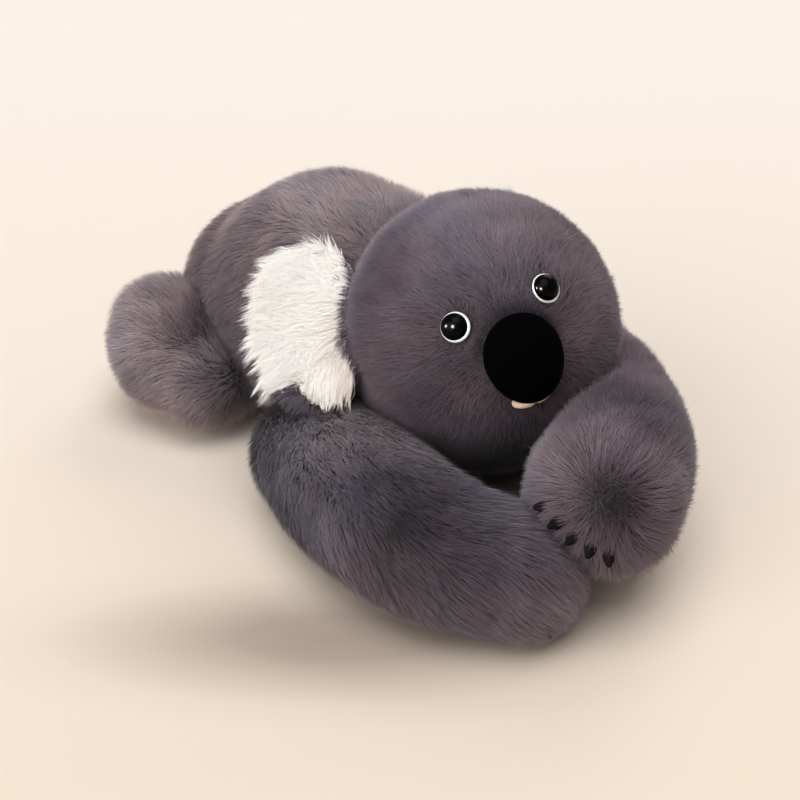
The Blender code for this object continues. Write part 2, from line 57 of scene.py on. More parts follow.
# %% Camera
CAMERA_AZIMUTH, CAMERA_ELEVATION, CAMERA_LENS, CAMERA_DISTANCE = -46.0, 30.0, 60.0, 0.83
CAMERA_TARGET = Vector((-0.0203, -0.0785, 0.0418))
azimuth, elevation = math.radians(CAMERA_AZIMUTH), math.radians(CAMERA_ELEVATION)
VIEW_BACK = Vector((math.sin(azimuth) * math.cos(elevation), -math.cos(azimuth) * math.cos(elevation),
                    math.sin(elevation)))
VIEW_RIGHT = Vector((math.cos(azimuth), math.sin(azimuth), 0.0))
VIEW_UP = VIEW_BACK.cross(VIEW_RIGHT)


def linked(name, data):
    """A new object in the scene."""
    item = bpy.data.objects.new(name, data)
    bpy.context.scene.collection.objects.link(item)
    return item


camera = linked("camera", bpy.data.cameras.new("camera"))
camera.data.lens = CAMERA_LENS
camera.matrix_world = (Matrix.Translation(CAMERA_TARGET + VIEW_BACK * CAMERA_DISTANCE)
                       @ Matrix((VIEW_RIGHT, VIEW_UP, VIEW_BACK)).transposed().to_4x4())
bpy.context.scene.camera = camera
print("camera at, mm:", [round(along / MM) for along in camera.matrix_world.translation])

# %% [markdown]
# ## The sizes that the skins follow
# Each soft part of the toy is a bag that was stuffed. Its form is a run of stations: where the
# middle of the bag is, how wide it is and where its underside and top are. The numbers are the
# solid model's own, so that every skin lies just inside the solid that it stands for.

# %% Sizes of the bags
BODY_LENGTH, BODY_WIDTH, BODY_HEIGHT = 262 * MM, 142 * MM, 157 * MM
ARM_SIZES, LEG_SIZES = (180 * MM, 80 * MM, 92 * MM), (60 * MM, 78 * MM, 76 * MM)
SHOULDERS, HIPS = {-1: (-0.62, -0.26), 1: (0.53, -0.25)}, {-1: (-0.40, 0.32), 1: (0.40, 0.32)}
# Body: along, half width, underside, top. Limbs: out, ahead, half width, underside, top.
BODY_TABLE = ((-0.29, 0.41, 0.06, 0.92), (-0.12, 0.48, 0.00, 0.97),
              (0.08, 0.50, 0.00, 1.00), (0.25, 0.40, 0.03, 0.83))
ARM_TABLES = {-1: ((0.01, 0.07, 0.47, 0.00, 0.78), (0.12, 0.38, 0.50, 0.00, 0.86),
                   (0.135, 0.70, 0.48, 0.00, 0.79), (0.045, 0.925, 0.43, 0.00, 0.70)),
              1: ((-0.03, 0.08, 0.44, 0.00, 0.86), (0.03, 0.38, 0.44, 0.00, 0.88),
                  (-0.14, 0.67, 0.46, 0.00, 0.94), (-0.46, 0.95, 0.46, 0.26, 1.10),
                  (-0.68, 1.05, 0.47, 0.30, 1.13))}
LEG_TABLE = ((0.15, -0.17, 0.44, 0.16, 1.05), (0.39, 0.23, 0.46, 0.13, 1.03),
             (0.39, 0.76, 0.38, 0.14, 0.82))


def limb_stations(table, root, side, reach, thickness, height):
    """Stations of a limb from its root, which is told in shares of the body's width and length."""
    return [(root[0] * BODY_WIDTH + side * out * reach, root[1] * BODY_LENGTH - ahead * reach,
             low * height, high * height, width * thickness) for out, ahead, width, low, high in table]


bags = {"body": [(0.0, along * BODY_LENGTH, low * BODY_HEIGHT, high * BODY_HEIGHT, width * BODY_WIDTH)
                 for along, width, low, high in BODY_TABLE]}
for side, name in SIDE_NAMES.items():
    bags["arm_" + name] = limb_stations(ARM_TABLES[side], SHOULDERS[side], side, *ARM_SIZES)
    bags["leg_" + name] = limb_stations(LEG_TABLE, HIPS[side], side, *LEG_SIZES)
print("stations:", {bag: len(stations) for bag, stations in bags.items()})

# %% [markdown]
# ## A bag as a grid of points
# A stuffed bag could be modelled by hand, or inflated by a cloth simulation. Here a smooth curve
# is read through the stations, and a ring that is a little squarer than a circle is drawn round
# it at each step, closed by a round cap at both ends. That keeps the bag exactly where the solid
# is, and gives each point of the skin a known place for the pile to grow from.

# %% Rings of a bag
SKIN_INSET, FLOOR_CLEARANCE = 3.0 * MM, 0.35 * MM
SECTION_POWER = 2.3
TUBE_STEPS, CAP_STEPS, AROUND_STEPS = 36, 12, 64
LEAST_LENGTH = 1e-12


def smooth_rows(rows, count):
    """Rows read evenly along a smooth curve through the given rows."""
    rows = np.asarray(rows, dtype=float)
    padded = np.vstack([2 * rows[0] - rows[1], rows, 2 * rows[-1] - rows[-2]])
    place = np.linspace(0, len(rows) - 1, count)
    index = np.minimum(place.astype(int), len(rows) - 2)
    share = (place - index)[:, None]
    before, start, end, after = (padded[index + k] for k in range(4))
    return (2 * start + (end - before) * share + (2 * before - 5 * start + 4 * end - after) * share ** 2
            + (3 * start - before - 3 * end + after) * share ** 3) / 2


def unit(vectors):
    length = np.linalg.norm(vectors, axis=-1, keepdims=True)
    return vectors / np.maximum(length, LEAST_LENGTH)


def bag_grid(stations, inset):
    """The rings of a bag as an array of points, its first and last ring drawn in to a point."""
    rows = smooth_rows(stations, TUBE_STEPS + 1)
    centres = np.stack([rows[:, 0], rows[:, 1], (rows[:, 2] + rows[:, 3]) / 2], axis=1)
    ahead = unit(np.gradient(centres, axis=0))
    wide, tall = rows[:, 4] - inset, (rows[:, 3] - rows[:, 2]) / 2 - inset
    cap = np.linspace(0, math.pi / 2, CAP_STEPS + 1)
    reach, shrink = np.cos(cap), np.sin(cap)
    first = centres[0] - ahead[0] * (wide[0] * reach)[:, None]
    last = centres[-1] + ahead[-1] * (wide[-1] * reach[::-1])[:, None]
    places = np.vstack([first, centres[1:-1], last])
    ways = np.vstack([np.tile(ahead[0], (len(cap), 1)), ahead[1:-1], np.tile(ahead[-1], (len(cap), 1))])
    widths, heights = (np.concatenate([half[0] * shrink, half[1:-1], half[-1] * shrink[::-1]])
                       for half in (wide, tall))
    side = unit(np.cross(ways, UP))
    turn = np.linspace(0, 2 * math.pi, AROUND_STEPS, endpoint=False)
    across, rise = (np.sign(wave) * np.abs(wave) ** (2 / SECTION_POWER)
                    for wave in (np.cos(turn), np.sin(turn)))
    grid = (places[:, None] + side[:, None] * (widths[:, None] * across)[..., None]
            + np.array(UP) * (heights[:, None] * rise)[..., None])
    grid[..., 2] = np.maximum(grid[..., 2], FLOOR_CLEARANCE)
    return grid, centres


# %% [markdown]
# ## Materials
# A moulded or felt piece is one plain colour, which changes a little along with a fine bump. It
# could be painted on a picture, but procedural nodes need no file and stay sharp at any size.

# %% Material helpers
GRAIN_DETAIL = 4.0
DARK_STOP, LIGHT_STOP = 0.35, 0.65


def with_inputs(node, **inputs):
    """The node, after some of its inputs are set."""
    for socket, value in inputs.items():
        node.inputs[socket.replace("_", " ")].default_value = value
    return node


def new_material(name, colour, roughness, **inputs):
    made = bpy.data.materials.new(name)
    made.use_nodes = True
    nodes, links = made.node_tree.nodes, made.node_tree.links
    shader = with_inputs(nodes["Principled BSDF"], Base_Color=(*colour, 1.0), Roughness=roughness, **inputs)
    return made, nodes, links, shader


def ramp(nodes, stops):
    """A colour ramp with the given (place, colour) stops."""
    node = nodes.new("ShaderNodeValToRGB")
    elements = node.color_ramp.elements
    while len(elements) < len(stops):
        elements.new(0.5)
    for element, (place, colour) in zip(elements, stops):
        element.position = place
        element.color = (*colour, 1.0)
    return node


def finish(name, dark, light, roughness, scale, strength, distance, **inputs):
    """A plain piece's finish: a fine bump, and a colour that changes a little along with it."""
    made, nodes, links, shader = new_material(name, light, roughness, **inputs)
    place = nodes.new("ShaderNodeTexCoord")
    noise = with_inputs(nodes.new("ShaderNodeTexNoise"), Scale=scale, Detail=GRAIN_DETAIL)
    bump = with_inputs(nodes.new("ShaderNodeBump"), Strength=strength, Distance=distance)
    colours = ramp(nodes, [(DARK_STOP, dark), (LIGHT_STOP, light)])
    links.new(place.outputs["Object"], noise.inputs["Vector"])
    links.new(noise.outputs["Fac"], bump.inputs["Height"])
    links.new(bump.outputs["Normal"], shader.inputs["Normal"])
    links.new(noise.outputs["Fac"], colours.inputs["Fac"])
    links.new(colours.outputs["Color"], shader.inputs["Base Color"])
    return made


# %% [markdown]
# ## Plush
# Plush is knitted backing with pile standing in it. Seen from outside, nearly all of it is pile,
# so the backing only has to be dark and dull. A hair is one colour family from root to tip, painted
# darker at its root as shade from its neighbours and painted lighter at its end as light. The hairs
# carry a map with the hair's own tone across and its length along, so one material can paint all of
# them. The hue also drifts over the toy between a bluish and a pinkish grey, and the slate plush is
# warmer towards the right of the view above. All of it is fixed to the toy, wherever it is looked at from.

# %% Plush materials
PILE_MAP = "OFBake"
PILE_ROUGHNESS, PILE_SHINE = 0.7, dict(Sheen_Weight=0.25, Sheen_Roughness=0.5, Specular_IOR_Level=0.02)
DRIFT_SCALE, COOL_STOP, WARM_STOP = 16.0, 0.40, 0.70
MIDDLE_OF_HAIR = 0.45
BACKING, DULL = (0.95, 900.0, 0.5, 0.5 * MM), dict(Specular_IOR_Level=0.1)


def multiplied(nodes, links, first, second):
    """The product of two colours."""
    node = with_inputs(nodes.new("ShaderNodeMix"), Factor=1.0)
    node.data_type, node.blend_type = "RGBA", "MULTIPLY"
    links.new(first, node.inputs["A"])
    links.new(second, node.inputs["B"])
    return node.outputs["Result"]


def vector_math(nodes, operation, second=(0.0, 0.0, 0.0)):
    node = nodes.new("ShaderNodeVectorMath")
    node.operation = operation
    node.inputs[1].default_value = second
    return node


def pile_material(name, tones, root_shade, tip_shade, cool, warm, warm_side=0.0):
    """Hair: its tone runs across the map and its length up it, which paints shade darkest at the root and light
    at the tip. Its hue drifts over the toy.
    """
    made, nodes, links, shader = new_material(name, tones[1], PILE_ROUGHNESS, **PILE_SHINE)
    where = nodes.new("ShaderNodeUVMap")
    where.uv_map = PILE_MAP
    split = nodes.new("ShaderNodeSeparateXYZ")
    place = nodes.new("ShaderNodeTexCoord")
    drift = with_inputs(nodes.new("ShaderNodeTexNoise"), Scale=DRIFT_SCALE)
    sideways = vector_math(nodes, "DOT_PRODUCT", VIEW_RIGHT * warm_side)
    total = nodes.new("ShaderNodeMath")
    tone = ramp(nodes, [(0.0, tones[0]), (0.5, tones[1]), (1.0, tones[2])])
    # Painted shade along the hair, darkest at its root, and painted light at its tip.
    shade = ramp(nodes, [(0.0, (root_shade,) * 3), (MIDDLE_OF_HAIR, ((root_shade + 2 * tip_shade) / 3,) * 3),
                         (1.0, (tip_shade,) * 3)])
    hue = ramp(nodes, [(COOL_STOP, cool), (WARM_STOP, warm)])
    links.new(where.outputs["UV"], split.inputs["Vector"])
    links.new(place.outputs["Object"], drift.inputs["Vector"])
    links.new(split.outputs["X"], tone.inputs["Fac"])
    links.new(split.outputs["Y"], shade.inputs["Fac"])
    links.new(place.outputs["Object"], sideways.inputs[0])
    links.new(drift.outputs["Fac"], total.inputs[0])
    links.new(sideways.outputs["Value"], total.inputs[1])
    links.new(total.outputs["Value"], hue.inputs["Fac"])
    shaded = multiplied(nodes, links, tone.outputs["Color"], shade.outputs["Color"])
    links.new(multiplied(nodes, links, shaded, hue.outputs["Color"]), shader.inputs["Base Color"])
    return made


SLATE_TONES = ((0.019, 0.0165, 0.023), (0.125, 0.103, 0.129), (0.281, 0.248, 0.289))
WARM_TONES = ((0.050, 0.039, 0.046), (0.182, 0.140, 0.150), (0.460, 0.375, 0.382))
WHITE_TONES = ((0.86, 0.76, 0.68), (0.97, 0.94, 0.90), (0.99, 0.98, 0.96))
# Painted shade at the root and painted light at the tip of a hair, then the cool and warm hues.
SLATE_LOOK = (0.45, 1.12, (0.93, 0.97, 1.02), (1.08, 0.96, 0.92))
WHITE_LOOK = (0.96, 1.00, (1.0, 1.0, 1.0), (1.0, 0.985, 0.96))
slate_pile = pile_material("slate_pile", SLATE_TONES, *SLATE_LOOK, warm_side=1.4)
warm_pile = pile_material("warm_slate_pile", WARM_TONES, *SLATE_LOOK)
white_pile = pile_material("white_ear_pile", WHITE_TONES, *WHITE_LOOK)
slate_backing = finish("slate_backing", (0.030, 0.024, 0.030), (0.050, 0.040, 0.048), *BACKING, **DULL)
white_backing = finish("white_ear_backing", (0.72, 0.66, 0.60), (0.85, 0.81, 0.76), *BACKING, **DULL)
print("plush:", [made.name for made in (slate_pile, warm_pile, white_pile, slate_backing, white_backing)])

# %% [markdown]
# ## Skins
# The skins are closed bags in the solids' places. Each replaces its solid cover and the filling
# in it, and rides on the same body, so it moves with the same joint. The mesh is built from
# the grid at once, row by row, which needs no modelling tools, and it is turned inside out if its
# volume comes out negative, because the pile grows along its normals.

# %% Skins of the body, arms and legs
def grid_object(name, grid, material):
    """A closed surface over a grid whose first and last rings are single points."""
    rings, around = grid.shape[:2]
    points = np.vstack([grid[0, :1], grid[1:-1].reshape(-1, 3), grid[-1, :1]])
    ring = np.arange(around)
    after = (ring + 1) % around
    faces = [(0, 1 + b, 1 + a) for a, b in zip(ring, after)]
    for row in range(rings - 3):
        low, high = 1 + row * around, 1 + (row + 1) * around
        faces += [(low + a, low + b, high + b, high + a) for a, b in zip(ring, after)]
    low, end = 1 + (rings - 3) * around, len(points) - 1
    faces += [(low + a, low + b, end) for a, b in zip(ring, after)]
    mesh = bpy.data.meshes.new(name)
    mesh.from_pydata(points.tolist(), [], faces)
    mesh.calc_loop_triangles()
    a, b, c = (points[[triangle.vertices[k] for triangle in mesh.loop_triangles]] for k in range(3))
    if (np.cross(a, b) * c).sum() < 0:
        mesh.flip_normals()
    mesh.materials.append(material)
    mesh.shade_smooth()
    return linked(name, mesh)


def dress(item, body, slot, *nodes):
    """A piece rides on a body and stands for solid nodes. Its slot is not used."""
    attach(item, body)
    if nodes:
        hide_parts(*nodes)
    return item


skins, middle_lines = {}, {}
for bag, stations in bags.items():
    grid, middle_lines[bag] = bag_grid(stations, SKIN_INSET)
    skins[bag] = dress(grid_object(bag + "_skin", grid, slate_backing), bag, "slate_fur",
                       bag + "_cover", bag + "_filling")
    print(bag, "skin, mm:", (np.ptp(grid, axis=(0, 1)) / MM).round())

# %% [markdown]
# ## Claws
# Five short claws are sewn along the end of each hand. They are stuffed felt points, dark and
# slightly curved in, and only their ends come out of the pile. Each is turned like a peg on a
# lathe from one profile. They are made before the pile, so that it can leave a little room at
# each claw of the left hand, where they show.

# %% Claws
CLAWS, CLAW_RINGS, CLAW_SIDES, CLAW_CURVE, CLAW_END = 5, 12, 20, 2.2, 1.06
CLAW_LENGTH, CLAW_BASE, CLAW_TIP, CLAW_SEAT = 12 * MM, 5.2 * MM, 1.6 * MM, 0.45
CLAW_TURN, CLAW_FAN = {-1: 0.0, 1: 12.0}, {-1: 17.0, 1: 14.5}
CLAW_DIP, CLAW_TILT = {-1: 30.0, 1: 10.5}, {-1: 0.0, 1: 24.0}
CLAW_REACH, CLAW_STOUTNESS = {-1: 10 * MM, 1: 15 * MM}, {-1: 1.0, 1: 1.6}
CLAW_ROOM = 3.0 * MM
claw_felt = finish("dark_claw_felt", (0.003, 0.002, 0.003), (0.010, 0.007, 0.009), 0.90, 900.0, 0.3,
                   0.2 * MM, Specular_IOR_Level=0.02)
claw_lines = {-1: [], 1: []}


def placed(grid, place):
    return grid @ np.array(place.to_3x3()).T + np.array(place.to_translation())


def turned(name, profile, place, material, steps=56):
    """A closed piece turned about +Z from a profile of (radius, height) pairs."""
    turn = np.linspace(0, 2 * math.pi, steps, endpoint=False)
    radius, height = np.array(profile).T
    grid = np.stack([radius[:, None] * np.cos(turn), radius[:, None] * np.sin(turn),
                     height[:, None] + 0 * turn], axis=-1)
    return grid_object(name, placed(grid, place), material)


def pointing(way):
    """A frame whose +Z runs along a direction."""
    return way.to_track_quat("Z", "Y").to_matrix().to_4x4()


def claw_profile(reach, thick):
    rows = [(thick * (1 - s ** CLAW_CURVE * (1 - CLAW_TIP / CLAW_BASE)), s * reach)
            for s in np.linspace(0, 1, CLAW_RINGS)]
    return [(0, 0)] + rows + [(0, reach * CLAW_END)]


for side, name in SIDE_NAMES.items():
    before_hand, hand = (Vector(point) for point in middle_lines["arm_" + name][-2:])
    radius = bags["arm_" + name][-1][4]
    ahead = (hand - before_hand).normalized()
    across = ahead.cross(UP).normalized()
    down = -across.cross(ahead).normalized()
    low, tilt = math.radians(CLAW_DIP[side]), math.radians(CLAW_TILT[side])
    middle_way = ahead * math.cos(low) + down * math.sin(low)
    row = across * math.cos(tilt) - down * math.sin(tilt)
    profile = claw_profile(CLAW_REACH[side], CLAW_BASE / 2 * CLAW_STOUTNESS[side])
    for index in range(CLAWS):
        spread = math.radians(CLAW_TURN[side] + CLAW_FAN[side] * (index - CLAWS // 2))
        way = (middle_way * math.cos(spread) + row * math.sin(spread)).normalized()
        start = hand + way * (radius - CLAW_LENGTH * CLAW_SEAT)
        place = Matrix.Translation(start) @ pointing(way)
        label = "claw_%s_%d" % (name, index + 1)
        claw = turned(label + "_felt", profile, place, claw_felt, CLAW_SIDES)
        dress(claw, "arm_" + name, "claw", label)
        claw_lines[side].append((np.array(start), np.array(way)))
print("claws:", {name: len(claw_lines[side]) for side, name in SIDE_NAMES.items()})


def near_claws(root, side):
    """Roots that would stand inside a claw of the left hand."""
    inside = np.zeros(len(root), dtype=bool)
    for start, way in claw_lines[side] if side > 0 else []:
        off = root - start
        inside |= np.linalg.norm(off - np.outer(off @ way, way), axis=1) < CLAW_ROOM
    return inside


# %% [markdown]
# ## The head
# The head is a slightly tall ball with a soft swelling at the muzzle. It could be sculpted, but
# a formula for the surface is better here: the eyes, the nose and the ears can all ask it where
# the skin is, and sit exactly on it. The matrix turns the head as the photographed one lies.

# %% Head surface
HEAD_RADII = np.array([152, 146, 158]) * MM / 2
HEAD_CENTRE = Vector((-4 * MM, -132 * MM, 104 * MM))
HEAD_TURN, HEAD_TILT, HEAD_ROLL = -37.9, -26.0, -19.3
MUZZLE_SWELL, MUZZLE_SPREAD = 5 * MM, 32.0
NOSE_DROP, MOUTH_DROP, EYE_SPREAD, EYE_RISE = 11.5, 29.0, 20.8, 10.2
HEAD_RINGS, HEAD_SIDES = 61, 72
HEAD_PLACE = (Matrix.Translation(HEAD_CENTRE) @ Matrix.Rotation(math.radians(HEAD_TURN), 4, "Z")
              @ Matrix.Rotation(math.radians(HEAD_TILT), 4, "X")
              @ Matrix.Rotation(math.radians(HEAD_ROLL), 4, "Y"))
head_turn = np.array(HEAD_PLACE.to_3x3())


def face_way(sideways, rise):
    """Unit direction from the head's centre, by angles to the side and above straight ahead."""
    side, up = math.radians(sideways), math.radians(rise)
    return np.array([math.sin(side) * math.cos(up), -math.cos(side) * math.cos(up), math.sin(up)])


def head_surface(ways, inset=0.0):
    """Points of the head's skin along unit directions, in the head's own frame."""
    muzzle = np.arccos(np.clip(ways @ face_way(0, -NOSE_DROP), -1, 1))
    swell = MUZZLE_SWELL * np.exp(-(muzzle / math.radians(MUZZLE_SPREAD)) ** 2)
    length = 1 / np.sqrt(((ways / (HEAD_RADII - inset)) ** 2).sum(axis=-1))
    return ways * (length + swell)[..., None]


def to_head(points):
    return (points - np.array(HEAD_CENTRE)) @ head_turn


def ball_angles(rings, around):
    """Angles from one end of a ball to the other, and round it."""
    return (np.linspace(0, math.pi, rings)[:, None],
            np.linspace(0, 2 * math.pi, around, endpoint=False)[None, :])


polar, turn = ball_angles(HEAD_RINGS, HEAD_SIDES)
ways = np.stack([np.sin(polar) * np.cos(turn), np.cos(polar) + 0 * turn, np.sin(polar) * np.sin(turn)],
                axis=-1)
head_grid = head_surface(ways, SKIN_INSET) @ head_turn.T + np.array(HEAD_CENTRE)
head_skin = dress(grid_object("head_skin", head_grid, slate_backing), "head",
                  "slate_fur", "head_cover", "head_filling")
print("head skin, mm:", (np.ptp(head_grid, axis=(0, 1)) / MM).round())

# %% [markdown]
# ## Pile
# Real pile could be a particle system, but hairs made as mesh keep their shape in every program
# and can be measured. Each hair is a narrow ribbon of five points that leaves the skin steeply
# and lies over along a combed direction. The roots are spread evenly: a triangle of the skin is
# drawn by its area, and then a place in it.

# %% Scatter roots on a skin
def scatter(skin, count, draw):
    """Points spread evenly over a skin, with its smooth normals."""
    mesh = skin.data
    mesh.calc_loop_triangles()
    places, normals = np.zeros(len(mesh.vertices) * 3), np.zeros(len(mesh.vertices) * 3)
    mesh.vertices.foreach_get("co", places)
    mesh.vertices.foreach_get("normal", normals)
    corners = np.zeros(len(mesh.loop_triangles) * 3, dtype=np.int32)
    mesh.loop_triangles.foreach_get("vertices", corners)
    places, normals, corners = (table.reshape(-1, 3) for table in (places, normals, corners))
    a, b, c = (places[corners[:, k]] for k in range(3))
    area = np.linalg.norm(np.cross(b - a, c - a), axis=1)
    chosen = draw.choice(len(corners), count, p=area / area.sum())
    along = np.sqrt(draw.random(count))[:, None]
    across = draw.random(count)[:, None]
    shares = np.hstack([1 - along, along * (1 - across), along * across])
    mixed = [(table[corners[chosen]] * shares[..., None]).sum(axis=1) for table in (places, normals)]
    return mixed[0], unit(mixed[1])


# %% [markdown]
# ## Ribbons
# A flat ribbon would glitter as it turns. So the two edges of each one lean their shading normals
# apart, as if it were round. A big coat is cut into meshes that other programs read easily.

# %% Hair ribbons as a mesh
HAIR_STATIONS = np.array([0.0, 0.5, 1.0])
MIDDLE_WIDTH_SHARE = 0.8
MOST_HAIRS = 64000
CORNER_ALONG = np.array([0.01, 0.01, 0.5, 0.5, 0.99])
CORNER_ACROSS = np.array([-1, 1, -1, 1, 0]) * 0.004


def hair_mesh(name, line, across, normals, width, tone, roundness):
    """Ribbons of five points along hair lines, as one mesh with its map and its normals."""
    count = len(line)
    half = across * (width / 2)[:, None]
    points = np.stack([line[:, 0] - half, line[:, 0] + half, line[:, 1] - half * MIDDLE_WIDTH_SHARE,
                       line[:, 1] + half * MIDDLE_WIDTH_SHARE, line[:, 2]], axis=1)
    edge = across * roundness
    shading = np.stack([normals - edge, normals + edge, normals - edge, normals + edge, normals], axis=1)
    corners = np.array([0, 1, 3, 2, 2, 3, 4])
    loops = (np.arange(count)[:, None] * 5 + corners).ravel()
    starts = (np.arange(count)[:, None] * 7 + np.array([0, 4])).ravel()
    mesh = bpy.data.meshes.new(name)
    mesh.vertices.add(count * 5)
    mesh.vertices.foreach_set("co", points.astype(np.float32).ravel())
    mesh.loops.add(len(loops))
    mesh.loops.foreach_set("vertex_index", loops.astype(np.int32))
    mesh.polygons.add(count * 2)
    mesh.polygons.foreach_set("loop_start", starts.astype(np.int32))
    mesh.update(calc_edges=True)
    mesh.shade_smooth()
    where = np.stack([np.broadcast_to(tone[:, None] + CORNER_ACROSS, (count, 5)),
                      np.broadcast_to(CORNER_ALONG, (count, 5))], axis=-1)
    layer = mesh.uv_layers.new(name=PILE_MAP)
    layer.uv.foreach_set("vector", where[:, corners].astype(np.float32).ravel())
    mesh.normals_split_custom_set_from_vertices(unit(shading).reshape(-1, 3))
    return mesh


# %% [markdown]
# ## How a hair lies
# A hair that is longer than its coat is high leans over until it fits, less in its lower half
# than in its upper one, and its end sags. Neighbours cling together: some hairs are chosen as
# the middle of a lock, and the others are drawn towards the nearest of them, most at their ends.

# %% Lean and locks
LEAN_LIMITS = (3, 89)
LOCK_POWER = 1.6


def hair_lines(root, normal, way, long, lean, bend, droop):
    """Three points a hair, from its root to its end."""
    line = np.zeros((len(root), 3, 3))
    line[:, 0] = root
    for k, turn_by in enumerate((-bend, bend)):
        angle = np.radians(np.clip(lean + turn_by, *LEAN_LIMITS))[:, None]
        line[:, k + 1] = line[:, k] + (normal * np.cos(angle) + way * np.sin(angle)) * (long / 2)[:, None]
    line[:, :, 2] -= (droop * long)[:, None] * HAIR_STATIONS ** 2
    return line


def gathered(line, root, lock, pull, gather, draw):
    """Hair lines drawn together into locks of about the given number of hairs."""
    heads = draw.choice(len(root), max(len(root) // lock, 1), replace=False)
    tree = kdtree.KDTree(len(heads))
    for index, head in enumerate(heads):
        tree.insert(root[head], index)
    tree.balance()
    near = heads[[tree.find(point)[1] for point in root]]
    hold = draw.uniform(gather, 1.0, len(root)) * pull
    return line + (line[near] - line) * (hold[:, None] * HAIR_STATIONS ** LOCK_POWER)[..., None]


# %% [markdown]
# ## One coat
# A coat is told by its hairs' length, by how high it stands and by which way it is combed. The
# comb wavers and the ends differ in length, as they do after a wash. Near the floor the coat is
# pressed flat, and most of the hairs that the toy lies on are left out, since nothing shows them.

# %% Grow a coat
RIPPLE_WAVES, RIPPLE_SIZES, RIPPLE_SCALE = 6, (0.6, 1.4), 3.0
COMB_WAVER, COMB_WAVER_SIZE = 0.38, 30 * MM
LENGTH_SPREAD, LENGTH_WAVER, LENGTH_WAVER_SIZE = (0.75, 1.10), 0.10, 18 * MM
HIDDEN_SHARE, HIDDEN_NORMAL, HIDDEN_HEIGHT = 0.75, -0.6, 8 * MM
PRESSED_SHARE, PRESSED_LOW, PRESSED_HIGH, UPWARD = 0.40, 2 * MM, 26 * MM, 0.5
LEAN_COSINES, LEAN_SPREAD = (0.08, 0.90), 7
SIDE_SHADING, WIDTH_SPREAD, TONE_LIMITS = 0.20, (0.7, 1.2), (0.01, 0.99)


def ripple(points, size, seed):
    """A smooth random value from -1 to 1 that changes over about the given size."""
    draw = np.random.default_rng(seed)
    waves = unit(draw.normal(size=(RIPPLE_WAVES, 3))) * (2 * math.pi / size)
    waves = waves * draw.uniform(*RIPPLE_SIZES, (RIPPLE_WAVES, 1))
    return np.sin(points @ waves.T + draw.uniform(0, 2 * math.pi, RIPPLE_WAVES)).sum(axis=1) / RIPPLE_SCALE


def smooth_step(values, low, high):
    share = np.clip((values - low) / (high - low), 0, 1)
    return share * share * (3 - 2 * share)


def value(given, *arguments):
    """A plain number, or what a function of the roots gives."""
    return given(*arguments) if callable(given) else given


def pile(name, skin, body, material, slot, count, length, coat, comb, seed, width, tone, bare=None,
         spread=0.07, lock=30, pull=0.25, droop=0.08, jitter=0.16, bend=13.0, limit=None, roundness=0.35,
         twisting=0.45, gather=0.2):
    """Grows one coat of hair on a skin. coat is how high it stands, comb which way it lies."""
    draw = np.random.default_rng(seed)
    root, normal = scatter(skin, count, draw)
    hidden = (normal[:, 2] < HIDDEN_NORMAL) & (root[:, 2] < HIDDEN_HEIGHT)
    keep = draw.random(count) > HIDDEN_SHARE * hidden
    if bare is not None:
        keep &= ~bare(root, normal)
    root, normal = root[keep], normal[keep]
    count = len(root)
    way = comb(root, normal) + draw.normal(0, jitter, (count, 3))
    way = way + COMB_WAVER * np.stack([ripple(root, COMB_WAVER_SIZE, seed + k) for k in range(3)], axis=1)
    way = unit(way - normal * (way * normal).sum(axis=1, keepdims=True))
    long = value(length, root) * draw.uniform(*LENGTH_SPREAD, count)
    long = long * (1 + LENGTH_WAVER * ripple(root, LENGTH_WAVER_SIZE, seed + 7))
    pressed = PRESSED_SHARE + (1 - PRESSED_SHARE) * smooth_step(root[:, 2], PRESSED_LOW, PRESSED_HIGH)
    height = value(coat, root, normal) * np.where(normal[:, 2] < UPWARD, pressed, 1.0)
    if limit is not None:
        long = limit(root, way, long)
    lean = np.degrees(np.arccos(np.clip(height / long, *LEAN_COSINES))) + draw.normal(0, LEAN_SPREAD, count)
    line = gathered(hair_lines(root, normal, way, long, lean, bend, droop), root, lock, pull, gather, draw)
    line[:, :, 2] = np.maximum(line[:, :, 2], FLOOR_CLEARANCE)
    along = unit(line[:, 2] - line[:, 0])
    flat = unit(np.cross(along, normal))
    over = np.cross(flat, along)
    twist = draw.normal(0, twisting, count)[:, None]
    across = flat * np.cos(twist) + over * np.sin(twist)
    shading = unit((1 - SIDE_SHADING) * normal + SIDE_SHADING * over)
    colour = np.clip(value(tone, root, normal) + draw.normal(0, spread, count), *TONE_LIMITS)
    wide = width * draw.uniform(*WIDTH_SPREAD, count)
    order = np.argsort(root[:, 1], kind="stable")
    parts = math.ceil(count / MOST_HAIRS)
    for number, part in enumerate(np.array_split(order, parts)):
        label = name if parts == 1 else "%s_%d" % (name, number + 1)
        mesh = hair_mesh(label, line[part], across[part], shading[part], wide[part], colour[part], roundness)
        mesh.materials.append(material)
        dress(linked(label, mesh), body, slot)
    print(name, count, "hairs")


# %% [markdown]
# ## Height and tone of a coat
# A coat that was stroked stands higher on one side of a limb than on the other. Its tone isn't
# even either: patches make it lighter or darker, partly as the plush's own uneven tone and partly
# as painted light and shade, and where the coat turns out of sight a painted rim light lightens
# it. Both are told as functions of the place on the skin, so that each piece can say its own in a line or two.

# %% Standing coats, and tone with painted light and shade
# How much rim light is painted where the coat turns out of the view, and where that starts and ends.
PAINTED_RIM_LIGHT, EDGE_START, EDGE_END = 0.24, (-0.50, -0.05), (0.30, 0.70)
BROAD_TONE, BROAD_SIZE, FINE_TONE, FINE_SIZE = 0.07, 55 * MM, 0.06, 18 * MM
HAIR_SHARE = 1.0
HAIR_WIDTH, FINE_HAIR_WIDTH = (width * MM / math.sqrt(HAIR_SHARE) for width in (0.32, 0.27))


def hairs(count):
    return int(count * HAIR_SHARE)


